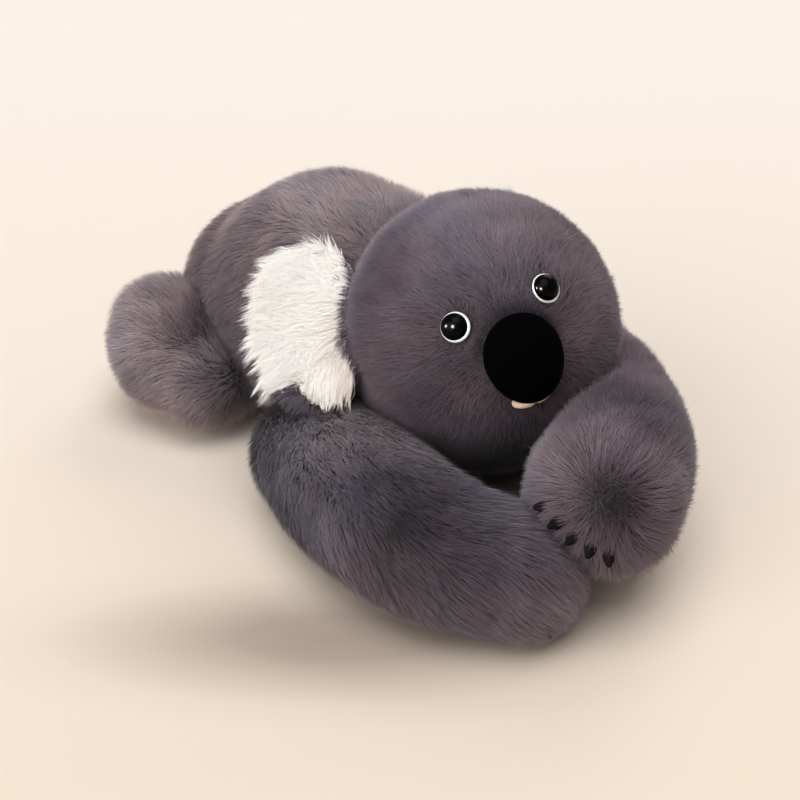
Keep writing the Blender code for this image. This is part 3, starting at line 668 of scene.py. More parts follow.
def standing(middle, left=0.0, right=0.0, up=0.0, down=0.0):
    """Height of a coat in millimetres, with what is added where it faces each side of the view."""
    def height(root, normal):
        sideways, rise = normal @ np.array(VIEW_RIGHT), normal @ np.array(VIEW_UP)
        return (middle + left * np.maximum(-sideways, 0) + right * np.maximum(sideways, 0)
                + up * np.maximum(rise, 0) + down * np.maximum(-rise, 0)) * MM
    return height


def turned_away(normal):
    """1 where the coat turns out of the view, 0 further in and further behind."""
    away = -(normal @ np.array(VIEW_BACK))
    return smooth_step(away, *EDGE_START) * (1 - smooth_step(away, *EDGE_END))


def near(root, x, y, z, radius):
    """1 at a place in millimetres, and less and less away from it."""
    off = root - np.array([x, y, z]) * MM
    return np.exp(-(off ** 2).sum(axis=1) / (radius * MM) ** 2)


def tone_with_painted_light(base, patches, seed):
    """Tone of a coat: patches of (x, y, z, radius in millimetres, change) on an uneven ground, partly painted
    light and shade, plus a painted rim light.
    """
    def tone(root, normal):
        total = (base + BROAD_TONE * ripple(root, BROAD_SIZE, seed)
                 + FINE_TONE * ripple(root, FINE_SIZE, seed + 1))
        # Painted rim light where the coat turns out of the view.
        total = total + PAINTED_RIM_LIGHT * turned_away(normal)
        for *place, change in patches:
            total = total + change * near(root, *place)
        return total
    return tone


# %% [markdown]
# ## Where the face is bare, and where it is trimmed
# On the real head the pile is shorn short round the eyes and at the nose, where long hairs would
# hide them. Distances are counted in widths of the bare place, so that one rule serves them all.

# %% Bare and trimmed places of the face
NOSE_WAY, MOUTH_WAY = face_way(0, -NOSE_DROP), face_way(0, -MOUTH_DROP)
EYE_WAYS = {side: face_way(side * EYE_SPREAD, EYE_RISE) for side in (-1, 1)}
nose_point = head_surface(NOSE_WAY)
eye_points = {side: head_surface(way) for side, way in EYE_WAYS.items()}
NOSE_BARE, NOSE_BARE_SHARE, FAR_BEHIND = np.array([20.0, 23.0]) * MM, 0.92, 9.0
EYE_BARE = {-1: 8.0 * MM, 1: 7.0 * MM}
NOSE_TRIM, NOSE_TRIM_REACH = 0.35, (0.95, 2.4)
EYE_TRIM, EYE_TRIM_REACH = {-1: 0.40, 1: 0.75}, (1.0, 3.0)


def nose_distance(local):
    """1 at the edge of the nose pad and more outside it, in front of the head."""
    off = (local - nose_point)[:, [0, 2]] / NOSE_BARE
    return np.where(local[:, 1] < 0, np.linalg.norm(off, axis=1), FAR_BEHIND)


def eye_distance(local, side):
    """1 at the edge of the bare ring under an eye."""
    return np.linalg.norm(local - eye_points[side], axis=1) / EYE_BARE[side]


def head_bare(root, normal):
    local = to_head(root)
    return ((nose_distance(local) < NOSE_BARE_SHARE) | (eye_distance(local, -1) < 1)
            | (eye_distance(local, 1) < 1))


def face_trim(root):
    """0 at the nose and the eyes, 1 where the coat has its full length."""
    local = to_head(root)
    trim = NOSE_TRIM + (1 - NOSE_TRIM) * smooth_step(nose_distance(local), *NOSE_TRIM_REACH)
    for side, least in EYE_TRIM.items():
        trim = trim * (least + (1 - least) * smooth_step(eye_distance(local, side), *EYE_TRIM_REACH))
    return trim


# %% [markdown]
# ## The coat of the head
# The pile is combed away from the nose: up the forehead, out over the cheeks and down under the
# chin. It stands highest on the cheeks and laps over the far edge of the left eye's ring. Where
# it meets the top of the nose its tone is painted darker, as painted shade in a crease.

# %% Head pile
COMB_CENTRE, EYE_COMB_REACH = 0.9, (1.1, 2.4)
EYE_PUSH, LEFT_EYE_PUSH, LEFT_EYE_PULL, LEFT_EYE_INNER = 1.6, 0.5, -1.2, -0.1
BACK_REACH, BACK_COMB, FALL = (0.0, 60 * MM), 0.5, np.array([0.0, 0.3, -0.9])
FALL_SHARE, BACK_FALL_SHARE = 0.20, 0.6
LAP_DISTANCE, LAP_SPREAD, LAP_SIDE, LAP_HEIGHT = 1.3, 0.35, 3 * MM, 5 * MM
CREASE_SPREAD, CREASE_RISE, PAINTED_CREASE_SHADE = 0.22, 14 * MM, 0.42
HEAD_HAIR = 13.0 * MM
head_standing = standing(5.0, left=5.0, right=-0.5, up=1.5, down=3.5)
# Of these patches, the one on the top of the head is painted light, and the dark one under the chin is painted
# shade.
face_tone = tone_with_painted_light(0.45, ((-65, -173, 123, 14, -0.10), (-68, -146, 58, 14, 0.16), (-42, -178, 55, 26, -0.50),
                           (-22, -203, 80, 20, -0.04), (-12, -132, 180, 40, 0.40), (-77, -148, 99, 16, -0.08),
                           (7, -196, 141, 34, 0.13)), 5)


def head_comb(root, normal):
    local = to_head(root)
    away = unit(local - nose_point * COMB_CENTRE)
    for side in (-1, 1):
        off = unit(local - eye_points[side])
        close = 1 - smooth_step(eye_distance(local, side), *EYE_COMB_REACH)
        push = EYE_PUSH if side < 0 else np.where(off[:, 0] > LEFT_EYE_INNER, LEFT_EYE_PULL, LEFT_EYE_PUSH)
        away = away + off * (push * close)[:, None]
    back = smooth_step(local[:, 1], *BACK_REACH)[:, None]
    away = away @ head_turn.T
    return away * (1 - BACK_COMB * back) + FALL * (FALL_SHARE + BACK_FALL_SHARE * back)


def head_coat(root, normal):
    """The coat rises again at the far side of the left eye and laps over its ring."""
    local = to_head(root)
    lap = np.exp(-((eye_distance(local, 1) - LAP_DISTANCE) / LAP_SPREAD) ** 2)
    lap = lap * smooth_step(local[:, 0] - eye_points[1][0], -LAP_SIDE, LAP_SIDE)
    return head_standing(root, normal) * face_trim(root) + LAP_HEIGHT * lap


def head_tone(root, normal):
    """The face's tone, with painted shade in the crease over the nose."""
    local = to_head(root)
    # Painted shade along the crease over the nose.
    crease = np.exp(-((nose_distance(local) - 1) / CREASE_SPREAD) ** 2)
    crease = crease * smooth_step(local[:, 2] - nose_point[2], 0, CREASE_RISE)
    return face_tone(root, normal) - PAINTED_CREASE_SHADE * crease


pile("head_pile", head_skin, "head", slate_pile, "slate_fur", hairs(170000),
     lambda root: HEAD_HAIR * face_trim(root), head_coat, head_comb, 11, width=FINE_HAIR_WIDTH,
     tone=head_tone, bare=head_bare)

# %% [markdown]
# ## The coat of the body
# The body's pile runs from the neck to the tail and falls down the flanks. Behind the left
# shoulder the head pushes it up. It grows nowhere where the head is pressed into it.

# %% Body pile
FAR_SHOULDER = (50, -55, 135, 42)
BODY_HAIR, SHOULDER_HAIR, SHOULDER_COAT = 14.0, 6.0, 10 * MM
TO_TAIL, DOWN_FLANKS = np.array([0.0, 1.0, -0.2]), [0, 0, 0.8]
HEAD_PRESS = 14 * MM


def deep_in_head(root, normal):
    return ((to_head(root) / (HEAD_RADII - HEAD_PRESS)) ** 2).sum(axis=1) < 1


body_standing = standing(6.5)
# The first patch is painted light on the top of the back.
body_tone = tone_with_painted_light(0.50, ((-10, -8, 155, 50, 0.40), (-64, 30, 105, 34, -0.25), (-58, -70, 61, 40, -0.20)), 6)
pile("body_pile", skins["body"], "body", warm_pile, "slate_fur", hairs(120000),
     lambda root: (BODY_HAIR + SHOULDER_HAIR * near(root, *FAR_SHOULDER)) * MM,
     lambda root, normal: body_standing(root, normal) + SHOULDER_COAT * near(root, *FAR_SHOULDER),
     lambda root, normal: TO_TAIL - np.outer(np.abs(normal[:, 0]), DOWN_FLANKS), 23,
     width=HAIR_WIDTH, tone=body_tone, bare=deep_in_head)

# %% [markdown]
# ## The coats of the arms and legs
# On an arm the pile runs from the shoulder towards the hand, and in front of the left shoulder
# the head pushes it up. On the round end of the left hand it turns back and stands out all round
# like a daisy, with its middle painted darker as the shade where one looks down between the hairs.

# %% Arm and leg pile
ARM_STANDING = {-1: standing(7.0, left=1.0, right=1.0, up=-0.5, down=-3.0),
                1: standing(7.5, left=3.5, right=-2.5, up=1.5, down=1.0)}
# Some of the right arm's lighter patches, under the ear and under the head, are painted light where those shade
# it; the dark patch at the middle of the left hand is painted shade.
ARM_TONES = {
    -1: tone_with_painted_light(0.52, ((-114, -115, 76, 32, 0.52), (-84, -162, 67, 26, 0.40), (-97, -148, 76, 20, 0.10),
                       (-90, -221, 65, 22, 0.24), (-136, -195, 68, 26, -0.48), (-128, -236, 52, 20, -0.20),
                       (-145, -185, 15, 26, 0.14), (-139, -228, 29, 20, 0.10), (-100, -267, 35, 24, 0.32),
                       (-124, -155, 76, 20, -0.20), (-103, -256, 57, 14, -0.24), (-151, -153, 34, 22, 0.16)), 7),
    1: tone_with_painted_light(0.50, ((-73, -275, 85, 11, -0.57), (-70, -240, 84, 15, 0.22), (32, -223, 91, 40, -0.16),
                      (-34, -268, 97, 13, -0.26), (-14, -229, 100, 20, -0.26), (-47, -230, 98, 13, -0.30),
                      (-60, -216, 80, 10, -0.15), (-78, -273, 57, 18, 0.10), (-48, -285, 88, 20, 0.27)), 8)}
DAISY = np.array([-72.7, -274.5, 85.2]) * MM
DAISY_FULL, DAISY_END = 190 * MM, 240 * MM
DAISY_LOOSE, DAISY_MIDDLE, DAISY_SEED = 1.3, 13 * MM, 3
SHOULDER_TOP, SHOULDER_RISE = (50, -190, 92, 20), {-1: 0.0, 1: 6.0}
RIGHT_ARM_PULL, RIGHT_ARM_FALL, LEFT_ARM_FALL = 1.7, [0, 0, -0.6], [0, 0, -0.3]
ARM_HAIR, LEG_HAIR, LEG_OUT, LEG_BACK, LEG_FALL = 14.5, 14.0 * MM, 0.35, 0.8, -0.45


def shoulder_rise(side, root):
    """Extra millimetres of coat in front of the left shoulder."""
    return SHOULDER_RISE[side] * near(root, *SHOULDER_TOP)


def along_arm(side, root):
    """Which way the arm runs at each root."""
    line = middle_lines["arm_" + SIDE_NAMES[side]]
    nearest = np.argmin(((root[:, None] - line[None]) ** 2).sum(axis=2), axis=1)
    return unit(np.gradient(line, axis=0))[nearest]


def right_arm_comb(root, normal):
    return RIGHT_ARM_PULL * along_arm(-1, root) + np.array(RIGHT_ARM_FALL)


def left_arm_comb(root, normal):
    off = np.linalg.norm(root - DAISY, axis=1)[:, None]
    daisy = smooth_step(-off, -DAISY_END, -DAISY_FULL)
    loose = np.random.default_rng(DAISY_SEED).normal(0, DAISY_LOOSE, root.shape)
    petals = unit(root - DAISY) + loose * np.exp(-(off / DAISY_MIDDLE) ** 2)
    return (along_arm(1, root) + np.array(LEFT_ARM_FALL)) * (1 - daisy) + petals * daisy


ARM_COMBS = {-1: right_arm_comb, 1: left_arm_comb}
leg_standing = standing(7.5, left=4.0, up=3.0, down=-2.5)
leg_tone = tone_with_painted_light(0.67, ((-97, 70, 74, 30, 0.14), (-76, 47, 66, 18, -0.22), (-112, 46, 37, 26, -0.08)), 9)
for side, name in SIDE_NAMES.items():
    arm, leg = "arm_" + name, "leg_" + name
    pile(arm + "_pile", skins[arm], arm, slate_pile, "slate_fur", hairs(100000),
         lambda root: (ARM_HAIR + shoulder_rise(side, root)) * MM,
         lambda root, normal: ARM_STANDING[side](root, normal) + shoulder_rise(side, root) * MM,
         ARM_COMBS[side], 31 + side, width=HAIR_WIDTH, tone=ARM_TONES[side],
         bare=lambda root, normal: deep_in_head(root, normal) | near_claws(root, side))
    pile(leg + "_pile", skins[leg], leg, warm_pile, "slate_fur", hairs(34000), LEG_HAIR, leg_standing,
         lambda root, normal: np.tile([side * LEG_OUT, LEG_BACK, LEG_FALL], (len(root), 1)), 41 + side,
         width=HAIR_WIDTH, tone=leg_tone)

# %% [markdown]
# ## Ears
# An ear is two panels sewn edge to edge, a white one in front and a slate one behind, with
# hardly any filling. Each panel is half of a flattened, cupped egg. The left ear is folded back
# behind the head, and its lower end is drawn in a little.

# %% Ear panels
EAR_LENGTH, EAR_WIDTH, EAR_PANEL, EAR_CUP, EAR_ROOT_INSET = 100 * MM, 64 * MM, 5 * MM, 8 * MM, 8 * MM
EAR_ROOT_SHARES, EAR_OUT_SHARES, EAR_UP_SHARES = (0.91, -0.05, 0.43), (0.90, 0.22, 0.339), (-0.38, 0.42, 0.82)
LEFT_EAR_SETBACK, LEFT_EAR_FOLD = 28.0, 45.0
EAR_SEAM, EAR_MIDDLE, EAR_RINGS, EAR_SIDES = 0.3 * MM, EAR_WIDTH / 2 - EAR_ROOT_INSET, 33, 48
LOWER_TUCK = {-1: 0.0, 1: 0.18}


def ear_frame(side):
    """+X runs out along the ear, +Z up it and -Y out of its front."""
    root = Vector([share * size for share, size in zip(EAR_ROOT_SHARES, HEAD_RADII)])
    out, up = Vector(EAR_OUT_SHARES).normalized(), Vector(EAR_UP_SHARES).normalized()
    for vector in (root, out, up):
        vector.x *= side
    out = (out - up * out.dot(up)).normalized()
    back = up.cross(out) * side
    place = Matrix.Translation(root) @ Matrix((out, back, up)).transposed().to_4x4()
    if side > 0:
        place = (Matrix.Rotation(math.radians(LEFT_EAR_SETBACK), 4, "Z") @ place
                 @ Matrix.Rotation(math.radians(LEFT_EAR_FOLD), 4, "Z"))
    return HEAD_PLACE @ place


def ear_panel_grid(faces, tuck):
    """One half of an ear: a cupped, flattened egg, level where the panels are sewn together."""
    polar, turn = ball_angles(EAR_RINGS, EAR_SIDES)
    x = EAR_WIDTH / 2 * np.sin(polar) * np.cos(turn)
    y = faces * (np.maximum(EAR_PANEL * np.sin(polar) * np.sin(turn) * faces, 0.0) + EAR_SEAM / 2)
    z = EAR_LENGTH / 2 * np.cos(polar) + 0 * turn
    y = y + EAR_CUP * (1 - (2 * x / EAR_WIDTH) ** 2 - (2 * z / EAR_LENGTH) ** 2)
    z = np.where(z < 0, z * (1 - tuck), z)
    return np.stack([x + EAR_MIDDLE, y, z], axis=-1)


# %% [markdown]
# ## How an ear's pile grows
# The long hairs of the white panel start at the root of the ear and fan outwards past the edge.
# They end in loose wisps on the outer side and in a pointed lock at the lower corner. They are
# short where the ear meets the head, and the fold there is a warmer white. The outline is a
# table of angles and distances, read off the photographed ear, and each hair is shortened until
# its end lies inside it. One long lock of the far ear stands up and shows over the head.

# %% Rules of the ear's pile
EAR_EDGE = np.array([(-180, 18.0), (-157, 17.6), (-140, 22), (-128, 38), (-119, 58), (-110, 58), (-103, 56),
                     (-88, 47), (-77, 37), (-63, 45), (-51, 58), (-44, 42), (-31, 44), (-19, 43), (-4, 41),
                     (15, 43), (25, 46), (39, 50), (53, 57), (67, 62), (83, 60), (102, 53), (122, 42),
                     (133, 32), (146, 22), (180, 18.0)])
EDGE_SIZE, EDGE_WAVER, EDGE_WAVER_SIZE, EDGE_SEED = {-1: 1.0, 1: 0.9}, 0.02, 6 * MM, 77
EAR_HAIR, EAR_COAT = {-1: 23 * MM, 1: 14 * MM}, 3
WISP_ANGLE, WISP_SPREAD, WISP_REACH, WISP_LENGTH, WISP_RISE = 66.0, 7, (26 * MM, 32 * MM), 11 * MM, 20
EAR_FAN, EAR_SAG, LOWER_LOCK = np.array([-26, 0, 2]) * MM, [0, 0, -0.2], [-0.5, 0, -1.6]
LOCK_DROP, LOCK_OUT = (12 * MM, 30 * MM), (18 * MM, 34 * MM)
END_LEAST, END_SPREAD, END_POWER, END_SEED = 0.80, 0.34, 2.2, 91
SHORTER, SHORTENINGS, LEAST_HAIR, FREE_WISP = 0.86, 12, 4 * MM, 0.3
WARM_OUT, WARM_UP, EAR_TONE, WARM_TONE = (4 * MM, 18 * MM), (0, 24 * MM), 0.70, 0.5
WHITE_EDGE, DARK_EDGE, SEAM_SIDE = 0.97, 1.03, 0.05


class Ear:
    """Directions, lengths and tones of the pile of one ear, read in the ear's own frame."""

    def __init__(self, side):
        self.side = side
        self.place = ear_frame(side)
        self.turn = np.array(self.place.to_3x3())
        self.origin = np.array(self.place.to_translation())

    def local(self, root):
        return (root - self.origin) @ self.turn

    def polar(self, root):
        """Distance and angle from the middle of the white panel."""
        local = self.local(root)
        x, z = local[:, 0] - EAR_MIDDLE, local[:, 2]
        return np.hypot(x, z), np.degrees(np.arctan2(z, x))

    def top_wisp(self, root):
        """1 where the long lock of the far ear stands."""
        far, angle = self.polar(root)
        wisp = np.exp(-((angle - WISP_ANGLE) / WISP_SPREAD) ** 2)
        return wisp * smooth_step(far, *WISP_REACH) * (self.side > 0)

    def edge_share(self, root):
        """0 in the middle of the white panel and 1 at the outline of its pile."""
        far, angle = self.polar(root)
        edge = np.interp(angle, EAR_EDGE[:, 0], EAR_EDGE[:, 1]) * MM * EDGE_SIZE[self.side]
        return far / (edge * (1 + EDGE_WAVER * ripple(root, EDGE_WAVER_SIZE, EDGE_SEED)))

    def length(self, root):
        return EAR_HAIR[self.side] + WISP_LENGTH * self.top_wisp(root)

    def height(self, root, normal):
        return (EAR_COAT + WISP_RISE * self.top_wisp(root)) * MM

    def comb(self, root, normal):
        """Fans out from behind the root, sags a little, and turns down in the lower lock."""
        local = self.local(root)
        fan = unit((local - EAR_FAN) * np.array([1, 0, 1]))
        low = smooth_step(-local[:, 2], *LOCK_DROP) * (1 - smooth_step(local[:, 0], *LOCK_OUT))
        return (fan + np.array(EAR_SAG) + np.outer(low, LOWER_LOCK)) @ self.turn.T

    def limit(self, root, way, long):
        """Shortens the hairs until their ends lie at the outline; few reach it and fewer pass it."""
        most = END_LEAST + END_SPREAD * np.random.default_rng(END_SEED).random(len(root)) ** END_POWER
        free = self.top_wisp(root) > FREE_WISP
        for _ in range(SHORTENINGS):
            over = self.edge_share(root + way * long[:, None]) > most
            long = np.where(over & ~free, long * SHORTER, long)
        return np.maximum(long, LEAST_HAIR)

    def tone(self, root, normal):
        local = self.local(root)
        warm = (1 - smooth_step(local[:, 0], *WARM_OUT)) * (1 - smooth_step(local[:, 2], *WARM_UP))
        return EAR_TONE - WARM_TONE * warm

    def not_white(self, root, normal):
        return ((normal @ self.turn)[:, 1] > -SEAM_SIDE) | (self.edge_share(root) > WHITE_EDGE)

    def not_root(self, root, normal):
        return ((normal @ self.turn)[:, 1] > -SEAM_SIDE) | (self.edge_share(root) < WHITE_EDGE)

    def before(self, root, normal):
        return (normal @ self.turn)[:, 1] < SEAM_SIDE


# %% [markdown]
# ## The coats of the ears
# Each ear gets three coats: the long white one, a short slate one where the front panel is sewn
# to the head, and another on the back. The white hairs cling together far more than the others,
# so they end in points. The backing under the slate root is slate too.

# %% Ear skins and pile
for side, name in SIDE_NAMES.items():
    ear, body = Ear(side), "ear_" + name
    panels = []
    for panel, faces, backing, slot in (("front", -1, white_backing, "white_ear_fur"),
                                        ("back", 1, slate_backing, "slate_fur")):
        grid = placed(ear_panel_grid(faces, LOWER_TUCK[side]), ear.place)
        label = "ear_%s_%s" % (panel, name)
        panels.append(dress(grid_object(label + "_skin", grid, backing), body, slot, label))
    front, back = panels
    front.data.materials.append(slate_backing)
    middles = np.array([polygon.center[:] for polygon in front.data.polygons])
    dark = ear.edge_share(middles) > DARK_EDGE
    front.data.polygons.foreach_set("material_index", dark.astype(np.int32))
    pile("ear_front_%s_pile" % name, front, body, white_pile, "white_ear_fur", hairs(56000),
         ear.length, ear.height, ear.comb, 51 + side, width=FINE_HAIR_WIDTH, tone=ear.tone, spread=0.04,
         bare=ear.not_white, lock=36, pull=0.90, gather=0.55, jitter=0.26, droop=0.12, bend=6.0,
         limit=ear.limit, roundness=0.12, twisting=0.20)
    pile("ear_root_%s_pile" % name, front, body, slate_pile, "slate_fur", hairs(20000), 8.0 * MM, 3.5 * MM,
         ear.comb, 56 + side, width=HAIR_WIDTH, tone=0.50, bare=ear.not_root)
    pile("ear_back_%s_pile" % name, back, body, slate_pile, "slate_fur", hairs(24000), 9.0 * MM, 3.5 * MM,
         ear.comb, 61 + side, width=HAIR_WIDTH, tone=0.45, bare=ear.before)

# %% [markdown]
# ## Eyes
# A safety eye is a glossy black dome on a shank. A white disc is trapped between it and the
# plush, and shows as a thin ring. The dome is turned from a half oval, which is how the mould
# for a real one is cut, and the ring has a rounded edge that catches the light. The domes sit
# a little off the middle of their rings, as they do once the lock washer is pressed home.

# %% Eyes and their rims
EYE_DIAMETER, EYE_BULGE = 14.6 * MM, 5.5 * MM
RIM_DIAMETER, RIM_THICKNESS, EYE_SEAT_DEPTH, GAP = 16.4 * MM, 2.0 * MM, 1.2 * MM, 0.3 * MM
EYE_SHIFT = {-1: (-0.4 * MM, 0.2 * MM), 1: (-0.6 * MM, 0)}
RIM_STEPS, DOME_STEPS = 9, 17
eye_black = finish("black_eye_plastic", (0.0006, 0.0006, 0.0008), (0.0016, 0.0014, 0.0017), 0.16, 300.0,
                   0.01, 0.02 * MM, Specular_IOR_Level=0.05)
rim_white = finish("white_rim_plastic", (0.87, 0.86, 0.84), (0.93, 0.93, 0.92), 0.35, 700.0, 0.08, 0.1 * MM)


def upright_on(way, depth):
    """A frame on the head whose +Z runs out of the skin, sunk by a depth."""
    return HEAD_PLACE @ Matrix.Translation(Vector(head_surface(way) - way * depth)) @ pointing(Vector(way))


outer, rounding = RIM_DIAMETER / 2, RIM_THICKNESS / 2
rim_edge = [(outer - rounding + rounding * math.cos(a), rounding + rounding * math.sin(a))
            for a in np.linspace(-math.pi / 2, math.pi / 2, RIM_STEPS)]
arc = [(EYE_DIAMETER / 2 * math.cos(a), EYE_BULGE * math.sin(a))
       for a in np.linspace(0, math.pi / 2, DOME_STEPS)]
for side, name in SIDE_NAMES.items():
    seat = upright_on(EYE_WAYS[side], EYE_SEAT_DEPTH - GAP)
    rim = turned("eye_rim_%s_ring" % name, [(0, 0)] + rim_edge + [(0, RIM_THICKNESS)], seat, rim_white)
    dress(rim, "head", "eye_rim", "eye_rim_" + name)
    shift = VIEW_RIGHT * EYE_SHIFT[side][0] + VIEW_UP * EYE_SHIFT[side][1]
    lift = Matrix.Translation(shift) @ seat @ Matrix.Translation(UP * (RIM_THICKNESS + GAP / 2))
    dome = turned("eye_%s_dome" % name, [(0, 0)] + arc[:-1] + [(0, EYE_BULGE)], lift, eye_black)
    dress(dome, "head", "eye", "eye_" + name)
    print(name, "eye at, mm:", [round(along / MM) for along in seat.translation])

# %% [markdown]
# ## Nose and mouth
# The nose is a stuffed velvet pad, near-black and almost without a highlight. Under it a small
# cream felt lip with a notch in the middle peeps out. Both are eggs: the nose's is a little
# wider at its foot, and the lip's is pinched in at its middle.

# %% Nose pad and lip
NOSE_WIDTH, NOSE_HEIGHT, NOSE_DEPTH, NOSE_TAPER = 43 * MM, 50 * MM, 28 * MM, 0.05
LIP_WIDTH, LIP_HEIGHT, LIP_DEPTH = 23 * MM, 7.6 * MM, 13 * MM
LIP_SHIFT, LIP_RISE = -2.6 * MM, -0.9 * MM
NOTCH_WIDTH, NOTCH_HEIGHT_SHARE, NOTCH_DEPTH_SHARE = 1.6 * MM, 0.45, 0.12
EGG_RINGS, EGG_SIDES = 41, 56
velvet = finish("black_nose_velvet", (0.0008, 0.0007, 0.0008), (0.0022, 0.0018, 0.0022), 1.0, 1600.0, 0.35,
                0.2 * MM, Sheen_Weight=0.01, Sheen_Roughness=0.4, Specular_IOR_Level=0.0)
felt = finish("cream_lip_felt", (0.74, 0.47, 0.31), (0.95, 0.76, 0.58), 0.95, 1200.0, 0.5, 0.3 * MM,
              Sheen_Weight=0.2, Specular_IOR_Level=0.1)


def egg_grid(width, depth, height):
    polar, turn = ball_angles(EGG_RINGS, EGG_SIDES)
    return np.stack([width / 2 * np.sin(polar) * np.cos(turn), depth / 2 * np.sin(polar) * np.sin(turn),
                     height / 2 * np.cos(polar) + 0 * turn], axis=-1)


quarter = Matrix.Rotation(math.radians(90), 4, "X")
nose_grid = egg_grid(NOSE_WIDTH, NOSE_DEPTH, NOSE_HEIGHT)
nose_grid[..., 0] *= 1 - NOSE_TAPER * nose_grid[..., 2] / (NOSE_HEIGHT / 2)
nose = grid_object("nose_pad", placed(nose_grid, upright_on(NOSE_WAY, 0) @ quarter), velvet)
dress(nose, "head", "nose", "nose_cover", "nose_filling")
lip_grid = egg_grid(LIP_WIDTH, LIP_DEPTH, LIP_HEIGHT)
notch = np.exp(-(lip_grid[..., 0] / NOTCH_WIDTH) ** 2)
lip_grid[..., 2] *= 1 - NOTCH_HEIGHT_SHARE * notch
lip_grid[..., 1] *= 1 - NOTCH_DEPTH_SHARE * notch
lip_grid += np.array([LIP_SHIFT, 0, LIP_RISE])
lip = grid_object("chin_lip", placed(lip_grid, upright_on(MOUTH_WAY, 0) @ quarter), felt)
dress(lip, "head", "chin", "chin_patch")
print("nose and lip, mm:", *((np.ptp(grid, axis=(0, 1)) / MM).round(1) for grid in (nose_grid, lip_grid)))

# %% [markdown]
# ## Washers
# The lock washers hold the eyes from inside the head. The solid ones have the right shape, so
# they only get a moulded plastic finish.

# %% Washer finish
washer_plastic = finish("white_washer_plastic", (0.68, 0.68, 0.66), (0.75, 0.75, 0.73), 0.45, 500.0, 0.1,
                        0.1 * MM)
for name in SIDE_NAMES.values():
    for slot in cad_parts["eye_washer_" + name].material_slots:
        slot.material = washer_plastic
print("washers:", washer_plastic.name)

# %% [markdown]
# ## Floor
# The photographed toy lies on pale cream paper that runs on behind it with no edge, a little
# paler towards the back. In front of the toy lies a soft oval shadow that touches it nowhere, so
# no lamp on this toy would cast it there. It is painted in the paper's colour instead, as a
# ramp over the distance from its middle. The floor still takes the toy's real shadow as well.

# %% Floor
FLOOR_NEAR, FLOOR_FAR, FLOOR_SIZE, FLOOR_STEPS = -0.55, 1.10, 12.0, 8
SHADE_MIDDLE, SHADE_RADII = (0.012, -0.245, 0.0), (0.210, 0.070, 1.0)
CREAM_STOPS = [(0.13, (0.762, 0.647, 0.538)), (0.40, (0.780, 0.694, 0.606)), (0.90, (0.790, 0.722, 0.655))]
SHADE_STOPS = [(0.0, (0.50, 0.48, 0.47)), (0.25, (0.55, 0.53, 0.52)), (0.5, (0.76, 0.75, 0.74)),
               (0.75, (0.95, 0.95, 0.94)), (1.0, (1.0, 1.0, 1.0))]
floor_cream, nodes, links, shader = new_material("cream_floor", CREAM_STOPS[1][1], 1.0,
                                                 Specular_IOR_Level=0.0)
place = nodes.new("ShaderNodeTexCoord")
in_view = with_inputs(nodes.new("ShaderNodeVectorRotate"), Angle=-azimuth)
in_view.rotation_type = "Z_AXIS"
split = nodes.new("ShaderNodeSeparateXYZ")
spread_along = with_inputs(nodes.new("ShaderNodeMapRange"), From_Min=FLOOR_NEAR, From_Max=FLOOR_FAR)
cream, shade = ramp(nodes, CREAM_STOPS), ramp(nodes, SHADE_STOPS)
from_middle = vector_math(nodes, "SUBTRACT", SHADE_MIDDLE)
in_shares = vector_math(nodes, "DIVIDE", SHADE_RADII)
how_far = vector_math(nodes, "LENGTH")
links.new(place.outputs["Object"], in_view.inputs["Vector"])
links.new(in_view.outputs["Vector"], split.inputs["Vector"])
links.new(split.outputs["Y"], spread_along.inputs["Value"])
links.new(spread_along.outputs["Result"], cream.inputs["Fac"])
links.new(in_view.outputs["Vector"], from_middle.inputs[0])
links.new(from_middle.outputs["Vector"], in_shares.inputs[0])
links.new(in_shares.outputs["Vector"], how_far.inputs[0])
links.new(how_far.outputs["Value"], shade.inputs["Fac"])
shaded = multiplied(nodes, links, cream.outputs["Color"], shade.outputs["Color"])
links.new(shaded, shader.inputs["Base Color"])
bpy.ops.mesh.primitive_grid_add(x_subdivisions=FLOOR_STEPS, y_subdivisions=FLOOR_STEPS, size=FLOOR_SIZE)
floor = bpy.context.object
floor.name = "floor"
floor.data.materials.append(floor_cream)
print("floor, m:", FLOOR_SIZE)

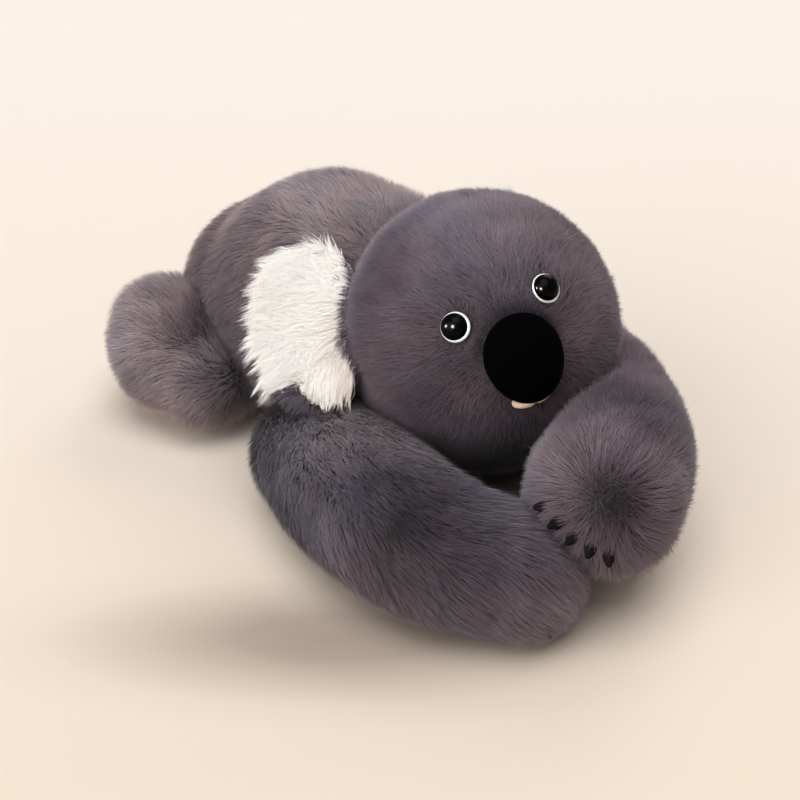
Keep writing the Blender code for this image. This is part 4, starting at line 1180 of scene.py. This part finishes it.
# %% [markdown]
# ## Light
# The light is that of a bright room, soft from every side: an even pale sky, a broad lamp almost
# straight above that comes a little from the viewer's side, one at the viewer's left, and a
# weaker one behind the toy at the right. Two small lamps at the viewer's left only make the
# sparks in the eyes and light nothing else. Camera rays that miss the floor see a far cream
# wall, which adds no light to the toy.

# %% Lamps and world
VIEW_AWAY = -Vector((VIEW_BACK.x, VIEW_BACK.y, 0.0)).normalized()
HEAD_MIDDLE = Vector((-0.07, -0.165, 0.14))
LAMP_DISTANCE = 1.5
SKY_LIGHT, FAR_WALL = (0.300, 0.294, 0.288), (0.985, 0.880, 0.765)


def lamp(name, kind, away, right, up, strength, size, spark_only=False):
    """A lamp in the given direction of the view: away from the viewer, to the right, and up."""
    way = (VIEW_AWAY * away + VIEW_RIGHT * right + UP * up).normalized()
    data = bpy.data.lights.new(name, kind)
    data.energy = strength
    if kind == "SUN":
        data.angle = math.radians(size)
    else:
        data.size = size
    item = linked(name, data)
    item.visible_diffuse = not spark_only
    item.matrix_world = Matrix.Translation(HEAD_MIDDLE + way * LAMP_DISTANCE) @ pointing(way)


lamp("room_lamp", "SUN", -0.20, 0.00, 1.00, 1.85, 50.0)
lamp("left_lamp", "SUN", -0.70, -0.75, 0.45, 1.70, 60.0)
lamp("back_lamp", "SUN", 0.90, 0.40, 0.80, 0.70, 34.0)
lamp("spark_lamp", "AREA", -0.82, -0.42, 0.47, 160.0, 0.33, spark_only=True)
lamp("window_lamp", "AREA", -0.25, -1.00, 0.22, 90.0, 0.30, spark_only=True)
world = bpy.data.worlds.new("soft_room")
world.use_nodes = True
nodes, links = world.node_tree.nodes, world.node_tree.links
light_path = nodes.new("ShaderNodeLightPath")
room = nodes.new("ShaderNodeMix")
room.data_type = "RGBA"
room.inputs["A"].default_value = (*SKY_LIGHT, 1.0)
room.inputs["B"].default_value = (*FAR_WALL, 1.0)
links.new(light_path.outputs["Is Camera Ray"], room.inputs["Factor"])
links.new(room.outputs["Result"], nodes["Background"].inputs["Color"])
bpy.context.scene.world = world
bpy.context.scene.view_settings.view_transform = "Standard"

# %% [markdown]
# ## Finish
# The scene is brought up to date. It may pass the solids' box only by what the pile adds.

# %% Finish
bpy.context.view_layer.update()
